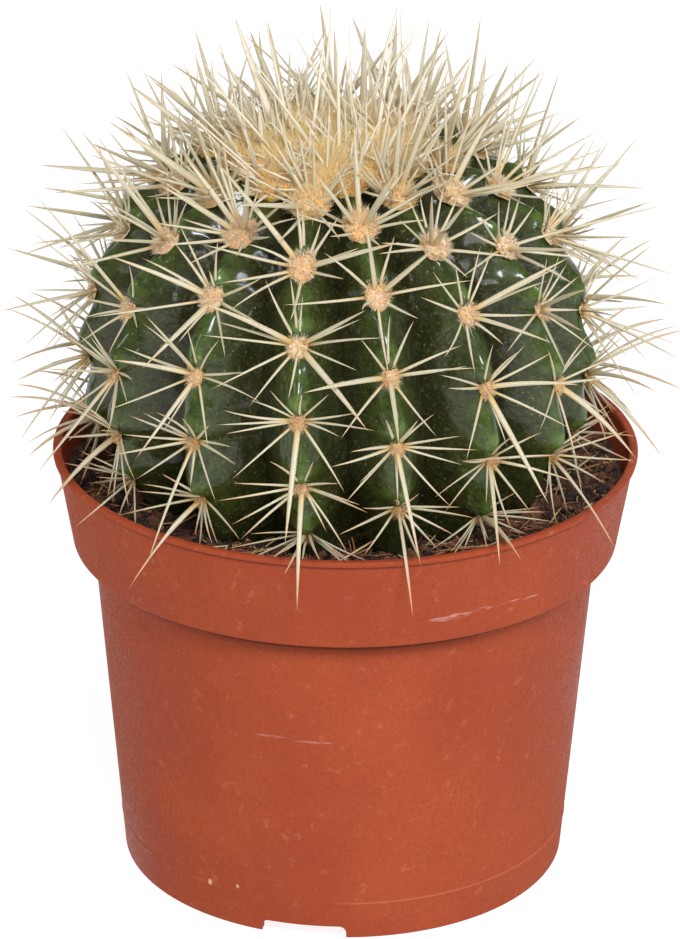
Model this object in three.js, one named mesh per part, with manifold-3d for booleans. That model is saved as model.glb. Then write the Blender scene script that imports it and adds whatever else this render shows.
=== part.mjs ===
// A golden barrel cactus growing in a round plastic nursery pot.
//
// Millimetres, +Z up. The origin is the centre of the pot's base, on the surface that it stands on.
// -Y is the front. A longitude is 0 at the front and grows to the right, towards +X.
//
// Four pieces: the pot, the potting soil, the plant's ribbed body with its spines, and the woolly
// crown with the long young spines that stand in it.

import * as THREE from "three";
import { mergeVertices } from "three/addons/utils/BufferGeometryUtils.js";
import Module from "manifold-3d";

const wasm = await Module();
wasm.setup();

// ---------------------------------------------------------------- driving dimensions

const GAP = 0.3; // between two pieces that touch
const CUT_MARGIN = 2; // how far a cutting block reaches past the wall that it cuts

// Pot: a thin moulded shell with a wide collar under its lip.
const POT_SIDES = 48;
const POT_HEIGHT = 98.4;
const RIM_RADIUS = 65;
const LIP_HEIGHT = 1.2;
const LIP_ROUNDING = 0.4;
const COLLAR_TOP_RADIUS = 64.3;
const COLLAR_BOTTOM_RADIUS = 60.8;
const COLLAR_BOTTOM = 76.4; // height of the step under the collar
const BODY_TOP_RADIUS = 56.3;
const FOOT_RADIUS = 49.8;
const WALL = 1.3;
const FOOT_RING_WIDTH = 3;
const FLOOR_UNDERSIDE = 4; // the floor is raised, so that water runs out under it
const FLOOR_THICKNESS = 1.6;
const NOTCH_COUNT = 3; // gaps in the foot ring, which let the water out
const NOTCH_LONGITUDE = -10;
const NOTCH_WIDTH = 19;
const NOTCH_HEIGHT = 3.1;
const NOTCH_ROUNDING = 1.6;
const DRAIN_COUNT = 6;
const DRAIN_RADIUS = 4;
const DRAIN_RING_RADIUS = 33;
const DRAIN_SIDES = 8;

// Soil
const SOIL_LEVEL = 91.6;
const SOIL_ROUGHNESS = 0.8; // how far the top rises and falls
const SOIL_RINGS = [57, 51, 42]; // radii of the rings of points on the top
const SOIL_SIDES = 48;

// Plant: a flattened globe, a little off upright.
const PLANT_CENTRE = new THREE.Vector3(-1.8, -2.5, 121.2);
const LEAN_RIGHT = -3.2; // degrees
const LEAN_BACK = -4.7;
const EQUATOR_RADIUS = 55.5;
const TOP_HALF_HEIGHT = 51.3;
const BOTTOM_HALF_HEIGHT = 45;
const SQUARENESS = 2.25; // 2 is an ellipse, and more is squarer
const RIB_LONGITUDES = [-8, 13.5, 36.5, 60, 82.5, 106, 130, 154, 178, 202, 226, 250, 273, 299.5, 326.5];
const RIB_DEPTH = 9.5; // at the equator
const RIB_DEPTH_FALL = 1.3; // power of the cosine by which ribs grow shallower towards the crown
const RIB_FADE_START = -20; // elevation where the ribs begin to fade into the buried base
const RIB_FADE_END = -46;
const BULGE = 1.7; // swelling of a rib between two areoles
const FLAT_CREST = 0.22; // half width of a rib's flat crest, as a share of the way to the groove
const FLANK_POWER = 1.2; // 1 is a straight flank, and more is hollow
const CREST = 0.3;
const FLANK = 0.6; // where the flank bends
const CROWN_ROWS = [78, 67.5];
const BASE_ROWS = [-45, -64];
const HOLE_ROWS = [-64, -45, -38, -32, -26, -20]; // rows of the hole in the soil, from its bottom
const TOP_STEP = 3; // areoles of a rib, counted in steps from the one at AREOLE_ELEVATION
const BOTTOM_STEP = -2;
const ROOT_TOP_RADIUS = 9;
const ROOT_TIP_RADIUS = 3;
const ROOT_TOP = 82;
const ROOT_TIP = 60;
const ROOT_SIDES = 10;

// Areoles: the woolly pads on the ribs that the spines grow from. Elevations are seen from the
// plant's centre. Neighbouring ribs carry them half a step apart.
const AREOLE_STEP = 16.6;
const AREOLE_ELEVATION = 11.5;
const LOWEST_AREOLE = -23;
const HIGHEST_AREOLE = 64;
const STAGGER_BREAK = 8; // the ribs are odd in number, so two at the back, from this one on, match
const PAD_SIDES = 6;
const PAD_RADIUS = 2.3; // at the soil
const CROWN_PAD_RADIUS = 3.2;
const PAD_HEIGHT = 1.3;
const PAD_ROOT = 1.6;

// Spines: radials lie low and spread like a star, centrals stand out. An angle is 0 up the rib.
const SPINE_ROOT = 1.8; // depth of a spine's root under the skin
const SPINE_REACH = 75; // no tip lies further from the pot's axis
const SPINE_TOP = 203; // no tip stands higher
const SPINE_CLEARANCE = 1.1; // from its middle line to the pot and the soil
const SPINE_SPACING = 1.1; // least distance between the middle lines of two spines of one piece
const PIECE_SPACING = 1.9; // and of two pieces
const SPINE_FOOT = 3.5; // length at the foot where the spines of one areole may crowd together
const SPINE_DRAWS = 8;
const GOLDEN_ANGLE = 137.5;
const MAIN_CENTRAL = { angle: 180, tilt: 38, length: 26, radius: 0.85, droop: 2.2 };
const RADIAL = { tilt: 26, length: 18, radius: 0.5 };
const STEEP = { tilt: 50, length: 23, radius: 0.7 };
const CENTRAL_SPREAD = { angle: 14, tilt: 6 }; // how far a spine strays from the values above
const RADIAL_SPREAD = { angle: 12, tilt: 8 };
const LENGTH_SPREAD = 3;
const STEEP_SECTORS = [0, 5]; // the sides of a pad that face the crown

// Crown: the wool at the growing point, and the young spines that stand up out of it.
const CROWN_EDGE = 67; // elevation of the wool's edge
const CROWN_RINGS = 3;
const CROWN_SIDES = 16;
const CROWN_GAP = 0.5; // to the skin, measured between corners
const CROWN_THICKNESS = 4;
const CROWN_EDGE_THICKNESS = 1.6;
const CROWN_LUMP = 0.8;
const CROWN_SPINES = 124;
const CROWN_FAN = [88, 34]; // how steep the spines stand in the middle and at the edge, in degrees
const CROWN_SPREAD = { turn: 25, steepness: 9, length: 5 };
const CROWN_MARGIN = 5; // from the wool's edge to the outermost spine, in degrees
const CROWN_SPINE_LENGTH = 28;
const CROWN_FOOT = 3.2; // height over the skin where a crown spine leaves the wool
const CROWN_SPINE_RADIUS = 0.85;

// ---------------------------------------------------------------- small helpers

const radians = THREE.MathUtils.degToRad;
const { lerp, smoothstep } = THREE.MathUtils;

// A repeatable stream of numbers from 0 to 1.
function randomStream(seed) {
  let state = seed;
  return () => {
    state = (Math.imul(state, 1664525) + 1013904223) >>> 0;
    return state / 4294967296;
  };
}

const random = randomStream(1907);
const spread = (amount) => (random() * 2 - 1) * amount;

function solidOf(geometry) {
  const bare = geometry.clone();
  bare.deleteAttribute("normal");
  bare.deleteAttribute("uv");
  const merged = mergeVertices(bare, 1e-3);
  return new wasm.Manifold(
    new wasm.Mesh({
      numProp: 3,
      vertProperties: merged.attributes.position.array,
      triVerts: new Uint32Array(merged.index.array),
    }),
  );
}

function geometryOf(solid) {
  const mesh = solid.getMesh();
  const geometry = new THREE.BufferGeometry();
  geometry.setAttribute("position", new THREE.BufferAttribute(mesh.vertProperties, 3));
  geometry.setIndex(new THREE.BufferAttribute(mesh.triVerts, 1));
  geometry.computeVertexNormals();
  return geometry;
}

// A solid of revolution about Z from [radius, height] points.
function latheAboutZ(profile, sides) {
  const points = profile.map(([radius, height]) => new THREE.Vector2(radius, height));
  return new THREE.LatheGeometry(points, sides).rotateX(Math.PI / 2);
}

function geometryFrom(points, faces) {
  const geometry = new THREE.BufferGeometry();
  geometry.setFromPoints(points);
  geometry.setIndex(faces);
  return geometry;
}

// Faces of a closed skin over rings of points, from a first pole through every ring to a last pole.
// The points are the first pole, the rings in turn, and the last pole.
function ringedFaces(ringCount, ringSize) {
  const faces = [];
  const at = (ring, column) => 1 + ring * ringSize + (column % ringSize);
  const last = 1 + ringCount * ringSize;
  for (let column = 0; column < ringSize; column += 1) {
    faces.push(0, at(0, column), at(0, column + 1));
    faces.push(last, at(ringCount - 1, column + 1), at(ringCount - 1, column));
    for (let ring = 0; ring < ringCount - 1; ring += 1) {
      faces.push(at(ring, column), at(ring + 1, column), at(ring + 1, column + 1));
      faces.push(at(ring, column), at(ring + 1, column + 1), at(ring, column + 1));
    }
  }
  return faces;
}

// ---------------------------------------------------------------- pot

// Radius of the pot's outer wall below the collar, at a height.
const bodyRadius = (height) => lerp(FOOT_RADIUS, BODY_TOP_RADIUS, height / COLLAR_BOTTOM);

// Radius of the collar's outer wall, at a height.
function collarRadius(height) {
  const share = (height - COLLAR_BOTTOM) / (POT_HEIGHT - LIP_HEIGHT - COLLAR_BOTTOM);
  return lerp(COLLAR_BOTTOM_RADIUS, COLLAR_TOP_RADIUS, share);
}

function potProfile() {
  const floorTop = FLOOR_UNDERSIDE + FLOOR_THICKNESS;
  const footInner = FOOT_RADIUS - FOOT_RING_WIDTH;
  const lipBottom = POT_HEIGHT - LIP_HEIGHT;
  const ledgeTop = COLLAR_BOTTOM + WALL;
  const lipInner = collarRadius(lipBottom) - WALL;
  return [
    [0, FLOOR_UNDERSIDE],
    [footInner, FLOOR_UNDERSIDE],
    [footInner, 0],
    [FOOT_RADIUS - LIP_ROUNDING, 0],
    [bodyRadius(LIP_ROUNDING), LIP_ROUNDING],
    [bodyRadius(COLLAR_BOTTOM), COLLAR_BOTTOM],
    [COLLAR_BOTTOM_RADIUS - LIP_ROUNDING, COLLAR_BOTTOM],
    [COLLAR_BOTTOM_RADIUS, COLLAR_BOTTOM + LIP_ROUNDING],
    [COLLAR_TOP_RADIUS, lipBottom],
    [RIM_RADIUS, lipBottom],
    [RIM_RADIUS, POT_HEIGHT - LIP_ROUNDING],
    [RIM_RADIUS - LIP_ROUNDING, POT_HEIGHT],
    [lipInner + LIP_ROUNDING, POT_HEIGHT],
    [lipInner, POT_HEIGHT - LIP_ROUNDING],
    [collarRadius(ledgeTop) - WALL, ledgeTop],
    [bodyRadius(ledgeTop) - WALL, ledgeTop],
    [bodyRadius(floorTop) - WALL, floorTop],
    [0, floorTop],
  ];
}

// A block with two rounded upper corners that cuts one drainage notch through the foot ring.
function notchCutter() {
  const half = NOTCH_WIDTH / 2;
  const outline = new THREE.Shape();
  outline.moveTo(-half, -CUT_MARGIN);
  outline.lineTo(half, -CUT_MARGIN);
  outline.lineTo(half, NOTCH_HEIGHT - NOTCH_ROUNDING);
  outline.absarc(half - NOTCH_ROUNDING, NOTCH_HEIGHT - NOTCH_ROUNDING, NOTCH_ROUNDING, 0, Math.PI / 2);
  outline.absarc(
    NOTCH_ROUNDING - half,
    NOTCH_HEIGHT - NOTCH_ROUNDING,
    NOTCH_ROUNDING,
    Math.PI / 2,
    Math.PI,
  );
  const depth = FOOT_RING_WIDTH + 2 * CUT_MARGIN;
  const block = new THREE.ExtrudeGeometry(outline, { depth, bevelEnabled: false, curveSegments: 3 });
  return block.rotateX(Math.PI / 2).translate(0, FOOT_RING_WIDTH + CUT_MARGIN - FOOT_RADIUS, 0);
}

function makePot() {
  let pot = solidOf(latheAboutZ(potProfile(), POT_SIDES));
  for (let i = 0; i < NOTCH_COUNT; i += 1) {
    const turn = radians(NOTCH_LONGITUDE) + (i * 2 * Math.PI) / NOTCH_COUNT;
    pot = pot.subtract(solidOf(notchCutter().rotateZ(turn)));
  }
  for (let i = 0; i < DRAIN_COUNT; i += 1) {
    const turn = (i * 2 * Math.PI) / DRAIN_COUNT;
    const depth = FLOOR_THICKNESS + 2 * CUT_MARGIN;
    const drill = new THREE.CylinderGeometry(DRAIN_RADIUS, DRAIN_RADIUS, depth, DRAIN_SIDES);
    drill.rotateX(Math.PI / 2);
    drill.translate(DRAIN_RING_RADIUS, 0, FLOOR_UNDERSIDE + FLOOR_THICKNESS / 2);
    pot = pot.subtract(solidOf(drill.rotateZ(turn)));
  }
  return pot;
}

// ---------------------------------------------------------------- plant body

// The plant's own axes: up along its lean, right, and away from the viewer.
const PLANT_UP = new THREE.Vector3(
  Math.sin(radians(LEAN_RIGHT)),
  Math.sin(radians(LEAN_BACK)),
  1,
).normalize();
const PLANT_RIGHT = new THREE.Vector3(1, 0, 0).projectOnPlane(PLANT_UP).normalize();
const PLANT_BACK = new THREE.Vector3().crossVectors(PLANT_UP, PLANT_RIGHT);

// Unit vector from the plant's centre at a longitude and elevation, in degrees.
function plantDirection(longitude, elevation) {
  const flat = Math.cos(radians(elevation));
  return new THREE.Vector3()
    .addScaledVector(PLANT_RIGHT, flat * Math.sin(radians(longitude)))
    .addScaledVector(PLANT_BACK, -flat * Math.cos(radians(longitude)))
    .addScaledVector(PLANT_UP, Math.sin(radians(elevation)));
}

// Distance from the centre to the line that the areoles sit on.
function globeRadius(elevation) {
  const halfHeight = elevation > 0 ? TOP_HALF_HEIGHT : BOTTOM_HALF_HEIGHT;
  const across = Math.abs(Math.cos(radians(elevation))) / EQUATOR_RADIUS;
  const along = Math.abs(Math.sin(radians(elevation))) / halfHeight;
  return (across ** SQUARENESS + along ** SQUARENESS) ** (-1 / SQUARENESS);
}

function ribDepth(elevation) {
  const buried = smoothstep(elevation, RIB_FADE_END, RIB_FADE_START);
  return RIB_DEPTH * Math.cos(radians(elevation)) ** RIB_DEPTH_FALL * buried;
}

// Elevation of one areole of a rib. The others lie whole steps above and below it.
function areolePhase(rib) {
  const isOffset = rib < STAGGER_BREAK ? rib % 2 === 1 : rib % 2 === 0;
  return AREOLE_ELEVATION - (isOffset ? AREOLE_STEP / 2 : 0);
}

// Swelling of a rib at an elevation: none at an areole, and most just below the middle.
function ribBulge(rib, elevation) {
  const below = (areolePhase(rib) - elevation) / AREOLE_STEP;
  const share = below - Math.floor(below);
  return bulgeLimit(elevation) * Math.sin(Math.PI * share ** 0.85) ** 2;
}

// Most that a rib swells at an elevation.
function bulgeLimit(elevation) {
  return BULGE * smoothstep(elevation, RIB_FADE_END, RIB_FADE_START) * Math.cos(radians(elevation));
}

// Distance from the centre to the skin. crest is 0 on the rib's crest and 1 in the groove.
function skinRadius(rib, crest, elevation) {
  const sunk = ribDepth(elevation) * (Math.max(0, crest - FLAT_CREST) / (1 - FLAT_CREST)) ** FLANK_POWER;
  const swollen = ribBulge(rib, elevation) * (1 - crest);
  return globeRadius(elevation) - sunk + swollen;
}

// Columns of points round the plant: for each rib, its groove and four points across its crest.
function skinColumns() {
  const columns = [];
  const count = RIB_LONGITUDES.length;
  RIB_LONGITUDES.forEach((longitude, rib) => {
    const before = RIB_LONGITUDES[(rib + count - 1) % count] - (rib === 0 ? 360 : 0);
    const after = RIB_LONGITUDES[(rib + 1) % count] + (rib === count - 1 ? 360 : 0);
    const left = (longitude - before) / 2;
    const right = (after - longitude) / 2;
    const phase = areolePhase(rib);
    const groovePhase = (phase + areolePhase((rib + count - 1) % count)) / 2;
    columns.push({ rib, crest: 1, longitude: longitude - left, phase: groovePhase });
    for (const crest of [FLANK, CREST]) {
      columns.push({ rib, crest, longitude: longitude - left * crest, phase });
    }
    for (const crest of [CREST, FLANK]) {
      columns.push({ rib, crest, longitude: longitude + right * crest, phase });
    }
  });
  return columns;
}

// Rows of points, as a function from a column's areole phase to the row's elevation. Each areole
// has a row above it, a row below it, and one on the bulge under it.
function skinRows() {
  const rows = CROWN_ROWS.map((elevation) => () => elevation);
  for (let step = TOP_STEP; step >= BOTTOM_STEP; step -= 1) {
    for (const share of [0.2, -0.2, -0.5]) {
      rows.push((phase) => phase + (step + share) * AREOLE_STEP);
    }
  }
  return [...rows, ...BASE_ROWS.map((elevation) => () => elevation)];
}

const COLUMNS = skinColumns();

function skinPoint(column, elevation, offset) {
  const radius = skinRadius(column.rib, column.crest, elevation) + offset;
  return plantDirection(column.longitude, elevation).multiplyScalar(radius).add(PLANT_CENTRE);
}

function polePoint(elevation, offset) {
  const radius = globeRadius(elevation) + offset;
  return plantDirection(0, elevation).multiplyScalar(radius).add(PLANT_CENTRE);
}

function makeSkin() {
  const rows = skinRows();
  const points = [polePoint(90, 0)];
  for (const elevationAt of rows) {
    points.push(...COLUMNS.map((column) => skinPoint(column, elevationAt(column.phase), 0)));
  }
  points.push(polePoint(-90, 0));
  return solidOf(geometryFrom(points, ringedFaces(rows.length, COLUMNS.length)));
}

// The stump of the root, which goes on below the plant's base into the soil.
function rootProfile(offset) {
  return [
    [0, ROOT_TIP - offset],
    [ROOT_TIP_RADIUS + offset, ROOT_TIP - offset],
    [ROOT_TOP_RADIUS + offset, ROOT_TOP],
    [0, ROOT_TOP],
  ];
}

// ---------------------------------------------------------------- spines

// A three-sided needle along a list of points, from a base of this radius to a sharp tip.
function needle(path, baseRadius) {
  const along = new THREE.Vector3().subVectors(path[path.length - 1], path[0]).normalize();
  const helper = Math.abs(along.z) < 0.9 ? new THREE.Vector3(0, 0, 1) : new THREE.Vector3(1, 0, 0);
  const side = new THREE.Vector3().crossVectors(along, helper).normalize();
  const other = new THREE.Vector3().crossVectors(side, along);
  const points = [path[0]];
  const rings = path.slice(0, -1);
  rings.forEach((centre, i) => {
    const radius = baseRadius * (1 - (0.6 * i) / rings.length);
    for (let corner = 0; corner < 3; corner += 1) {
      const turn = (corner * 2 * Math.PI) / 3;
      points.push(
        centre
          .clone()
          .addScaledVector(side, radius * Math.cos(turn))
          .addScaledVector(other, radius * Math.sin(turn)),
      );
    }
  });
  points.push(path[path.length - 1]);
  return solidOf(geometryFrom(points, ringedFaces(rings.length, 3)));
}

// Whether a point is clear of the pot and the soil.
function isClear(point) {
  const fromAxis = Math.hypot(point.x, point.y);
  if (point.z > POT_HEIGHT + SPINE_CLEARANCE || fromAxis > RIM_RADIUS + SPINE_CLEARANCE) return true;
  const insideWall = fromAxis < collarRadius(point.z) - WALL - SPINE_CLEARANCE;
  return insideWall && point.z > SOIL_LEVEL + SOIL_ROUGHNESS + SPINE_CLEARANCE;
}

// Shortest distance between the lines from a to b and from c to d.
function lineDistance(a, b, c, d) {
  const first = new THREE.Vector3().subVectors(b, a);
  const second = new THREE.Vector3().subVectors(d, c);
  const between = new THREE.Vector3().subVectors(a, c);
  const aa = first.dot(first);
  const bb = second.dot(second);
  const ab = first.dot(second);
  const ac = first.dot(between);
  const bc = second.dot(between);
  const spanned = Math.max(aa * bb - ab * ab, 1e-9);
  const onFirst = THREE.MathUtils.clamp((ab * bc - ac * bb) / spanned, 0, 1);
  const onSecond = THREE.MathUtils.clamp((ab * onFirst + bc) / bb, 0, 1);
  const backOnFirst = THREE.MathUtils.clamp((ab * onSecond - ac) / aa, 0, 1);
  const near = a.clone().addScaledVector(first, backOnFirst);
  return near.distanceTo(c.clone().addScaledVector(second, onSecond));
}

const standing = []; // the free stretches of all placed spines, as { start, end, piece }

// The free stretches of a spine: its points without the sunk root and the foot beside it.
function freeStretches(path) {
  const foot = path[0].clone().lerp(path[1], (SPINE_ROOT + SPINE_FOOT) / path[0].distanceTo(path[1]));
  return path.slice(1).map((end, i) => [i === 0 ? foot : path[i], end]);
}

// Whether a spine of one piece crosses none that stands already.
function isApart(path, piece) {
  return freeStretches(path).every(([a, b]) =>
    standing.every((other) => {
      const spacing = other.piece === piece ? SPINE_SPACING : PIECE_SPACING;
      return lineDistance(a, b, other.start, other.end) > spacing;
    }),
  );
}

// Points of a spine from its sunk root to its tip. A droop bends the tip down.
function spinePath(root, direction, length, droop) {
  const segments = droop ? 2 : 1;
  const path = [root.clone().addScaledVector(direction, -SPINE_ROOT)];
  for (let i = 1; i <= segments; i += 1) {
    const share = i / segments;
    const point = root.clone().addScaledVector(direction, length * share);
    point.z -= droop * share * share;
    path.push(point);
  }
  return path;
}

function isPathClear(path) {
  for (let i = 1; i < path.length; i += 1) {
    for (let share = 1; share > 0; share -= 0.06) {
      if (!isClear(path[i - 1].clone().lerp(path[i], share))) return false;
    }
  }
  return true;
}

// How much too long a spine is along its direction, for the room that its tip may reach.
function excessLength(tip, direction) {
  const outward = (Math.hypot(tip.x, tip.y) - SPINE_REACH) / Math.hypot(direction.x, direction.y);
  const upward = (tip.z - SPINE_TOP) / direction.z;
  return Math.max(0, outward, direction.z > 0 ? upward : 0);
}

// A spine that would meet the pot or the soil is lifted, and one that would reach too far is cut
// short. Returns its points, or nothing where there is no room for it.
function fitSpine(root, direction, length, droop) {
  const lifted = direction.clone();
  for (let attempt = 0; attempt < 14; attempt += 1) {
    const tip = spinePath(root, lifted, length, droop).pop();
    const path = spinePath(root, lifted, length - excessLength(tip, lifted), droop);
    if (isPathClear(path)) return path;
    lifted.z += 0.12;
    lifted.normalize();
  }
  return null;
}

// Finds a place for one spine where it crosses no other: draws its points a few times, and gives
// up if none is free.
function findSpine(draw, piece) {
  for (let attempt = 0; attempt < SPINE_DRAWS; attempt += 1) {
    const path = draw();
    if (path && isApart(path, piece)) {
      standing.push(...freeStretches(path).map(([start, end]) => ({ start, end, piece })));
      return path;
    }
  }
  return null;
}

// Where an areole sits, which way is out, and which way is up along its rib.
function areoleFrame(rib, elevation) {
  const longitude = RIB_LONGITUDES[rib];
  const at = (degrees) =>
    plantDirection(longitude, degrees).multiplyScalar(globeRadius(degrees)).add(PLANT_CENTRE);
  const centre = at(elevation);
  const up = at(elevation + 1).sub(at(elevation - 1)).normalize();
  const right = plantDirection(longitude + 90, 0);
  const out = new THREE.Vector3().crossVectors(right, up).normalize();
  return { centre, up, right, out };
}

// A direction at an angle round an areole and a tilt out of the skin's plane, in degrees.
function spineDirection(frame, angle, tilt) {
  const flat = Math.cos(radians(tilt));
  return new THREE.Vector3()
    .addScaledVector(frame.up, flat * Math.cos(radians(angle)))
    .addScaledVector(frame.right, flat * Math.sin(radians(angle)))
    .addScaledVector(frame.out, Math.sin(radians(tilt)))
    .normalize();
}

const padRadius = (elevation) =>
  lerp(PAD_RADIUS, CROWN_PAD_RADIUS, smoothstep(elevation, LOWEST_AREOLE, HIGHEST_AREOLE));

// The points of a pad: its corners on the skin, and its middle above and below them.
function padPoints({ frame, elevation }) {
  const corners = [];
  for (let corner = 0; corner < PAD_SIDES; corner += 1) {
    const toCorner = spineDirection(frame, (-360 * corner) / PAD_SIDES, 0);
    corners.push(frame.centre.clone().addScaledVector(toCorner, padRadius(elevation)));
  }
  return {
    corners,
    top: frame.centre.clone().addScaledVector(frame.out, PAD_HEIGHT),
    bottom: frame.centre.clone().addScaledVector(frame.out, -PAD_ROOT),
  };
}

// Three points round the middle of a central spine, level with the skin. The spine's stages are
// joined by these, so that it grows out of the pad as one body.
function centralStage(frame, middle, radius) {
  return [0, -120, -240].map((turn) =>
    middle.clone().addScaledVector(spineDirection(frame, turn, 0), radius),
  );
}

// The woolly pad of an areole with its main central spine, which grows from the pad's top.
function makePad(areole) {
  const { frame } = areole;
  const { corners, top, bottom } = padPoints(areole);
  const path = findSpine(() => {
    const angle = MAIN_CENTRAL.angle + spread(CENTRAL_SPREAD.angle);
    const direction = spineDirection(frame, angle, MAIN_CENTRAL.tilt + spread(CENTRAL_SPREAD.tilt));
    return fitSpine(top, direction, MAIN_CENTRAL.length + spread(LENGTH_SPREAD), MAIN_CENTRAL.droop);
  }, "cactus");
  if (!path) return solidOf(geometryFrom([top, ...corners, bottom], ringedFaces(1, PAD_SIDES)));

  const [, bend, tip] = path;
  const lower = centralStage(frame, top, MAIN_CENTRAL.radius);
  const upper = centralStage(frame, bend, MAIN_CENTRAL.radius * 0.62);
  const points = [tip, ...upper, ...lower, ...corners, bottom];
  const upperAt = (i) => 1 + (i % 3);
  const lowerAt = (i) => 4 + (i % 3);
  const cornerAt = (i) => 7 + (i % PAD_SIDES);
  const last = points.length - 1;
  const faces = [];
  for (let i = 0; i < 3; i += 1) {
    faces.push(0, upperAt(i), upperAt(i + 1));
    faces.push(upperAt(i), lowerAt(i), lowerAt(i + 1));
    faces.push(upperAt(i), lowerAt(i + 1), upperAt(i + 1));
    faces.push(lowerAt(i), cornerAt(2 * i), cornerAt(2 * i + 1));
    faces.push(lowerAt(i), cornerAt(2 * i + 1), lowerAt(i + 1));
    faces.push(lowerAt(i + 1), cornerAt(2 * i + 1), cornerAt(2 * i + 2));
  }
  for (let i = 0; i < PAD_SIDES; i += 1) faces.push(last, cornerAt(i + 1), cornerAt(i));
  return solidOf(geometryFrom(points, faces));
}

// One of the spines round the main one. It grows from the middle of its own side of the pad.
function growRadial(areole, sector) {
  const { frame } = areole;
  const { corners, top } = padPoints(areole);
  const kind = STEEP_SECTORS.includes(sector) ? STEEP : RADIAL;
  const foot = new THREE.Vector3()
    .add(corners[(PAD_SIDES - sector) % PAD_SIDES])
    .add(corners[PAD_SIDES - sector - 1])
    .add(top)
    .divideScalar(3);
  const middle = (360 * (sector + 0.5)) / PAD_SIDES;
  const path = findSpine(() => {
    const angle = middle + spread(RADIAL_SPREAD.angle);
    const direction = spineDirection(frame, angle, kind.tilt + spread(RADIAL_SPREAD.tilt));
    return fitSpine(foot, direction, kind.length + spread(LENGTH_SPREAD), 0);
  }, "cactus");
  return path ? [needle(path, kind.radius)] : [];
}

// All areoles, from the soil to the crown, as { frame, elevation }.
function allAreoles() {
  const areoles = [];
  RIB_LONGITUDES.forEach((_, rib) => {
    for (let step = BOTTOM_STEP; step <= TOP_STEP; step += 1) {
      const elevation = areolePhase(rib) + step * AREOLE_STEP;
      if (elevation > LOWEST_AREOLE) areoles.push({ frame: areoleFrame(rib, elevation), elevation });
    }
  });
  return areoles;
}

// The plant's body with its pads and spines.
function makeCactus() {
  const areoles = allAreoles();
  const parts = [makeSkin(), solidOf(latheAboutZ(rootProfile(0), ROOT_SIDES)), ...areoles.map(makePad)];
  for (let sector = 0; sector < PAD_SIDES; sector += 1) {
    parts.push(...areoles.flatMap((areole) => growRadial(areole, sector)));
  }
  return wasm.Manifold.union(parts);
}

// ---------------------------------------------------------------- crown

// Thickness of the wool: lumpy where the youngest areoles merge, and thin at its edge.
function woolThickness(longitude, elevation) {
  const inward = (elevation - CROWN_EDGE) / (90 - CROWN_EDGE);
  const body = lerp(CROWN_EDGE_THICKNESS, CROWN_THICKNESS, Math.min(1, inward * 3));
  const lumps = Math.cos(radians(longitude * 8)) * Math.sin(Math.PI * inward);
  return body + CROWN_LUMP * lumps;
}

// The wool as a closed cap: over the top from the growing point to the edge, and back underneath.
function makeWool() {
  const ringAt = (elevation, offsetAt) => {
    const ring = [];
    for (let i = 0; i < CROWN_SIDES; i += 1) {
      const longitude = (i * 360) / CROWN_SIDES;
      const radius = globeRadius(elevation) + offsetAt(longitude, elevation);
      ring.push(plantDirection(longitude, elevation).multiplyScalar(radius).add(PLANT_CENTRE));
    }
    return ring;
  };
  const top = [];
  const underside = [];
  for (let ring = 1; ring <= CROWN_RINGS; ring += 1) {
    const elevation = lerp(90, CROWN_EDGE, ring / CROWN_RINGS);
    top.push(ringAt(elevation, woolThickness));
    underside.push(ringAt(elevation, () => CROWN_GAP));
  }
  const rings = [...top, ...underside.reverse()];
  const points = [polePoint(90, CROWN_THICKNESS), ...rings.flat(), polePoint(90, CROWN_GAP)];
  return solidOf(geometryFrom(points, ringedFaces(rings.length, CROWN_SIDES)));
}

// The young spines stand up in the middle of the crown and fan out towards its edge.
function crownNeedles() {
  const needles = [];
  for (let i = 0; i < CROWN_SPINES; i += 1) {
    const outward = Math.sqrt((i + 0.5) / CROWN_SPINES);
    const longitude = i * GOLDEN_ANGLE;
    const elevation = lerp(CROWN_FAN[0], CROWN_EDGE + CROWN_MARGIN, outward);
    const foot = plantDirection(longitude, elevation)
      .multiplyScalar(globeRadius(elevation) + CROWN_FOOT)
      .add(PLANT_CENTRE);
    const path = findSpine(() => {
      const steepness = lerp(...CROWN_FAN, outward) + spread(CROWN_SPREAD.steepness);
      const direction = plantDirection(longitude + spread(CROWN_SPREAD.turn), steepness);
      return fitSpine(foot, direction, CROWN_SPINE_LENGTH + spread(CROWN_SPREAD.length), 0);
    }, "crown");
    if (path) needles.push(needle(path, CROWN_SPINE_RADIUS));
  }
  return needles;
}

const makeCrown = () => wasm.Manifold.union([makeWool(), ...crownNeedles()]);

// ---------------------------------------------------------------- soil

// The soil's top rises and falls a little, by a sum of waves.
function soilRipple(x, y) {
  const waves = Math.sin(x * 0.31 + 1) * Math.cos(y * 0.27) + Math.sin(x * 0.13 - y * 0.41);
  return (SOIL_ROUGHNESS / 2) * waves;
}

function soilProfile() {
  const floorTop = FLOOR_UNDERSIDE + FLOOR_THICKNESS;
  const ledgeTop = COLLAR_BOTTOM + WALL;
  const inside = (radius) => radius - WALL - GAP * 1.5;
  return [
    [0, floorTop + GAP],
    [inside(bodyRadius(floorTop)), floorTop + GAP],
    [inside(bodyRadius(ledgeTop)), ledgeTop + GAP],
    [inside(collarRadius(ledgeTop)), ledgeTop + GAP],
    [inside(collarRadius(SOIL_LEVEL)), SOIL_LEVEL],
    ...SOIL_RINGS.map((radius) => [radius, SOIL_LEVEL]),
    [0, SOIL_LEVEL],
  ];
}

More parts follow.
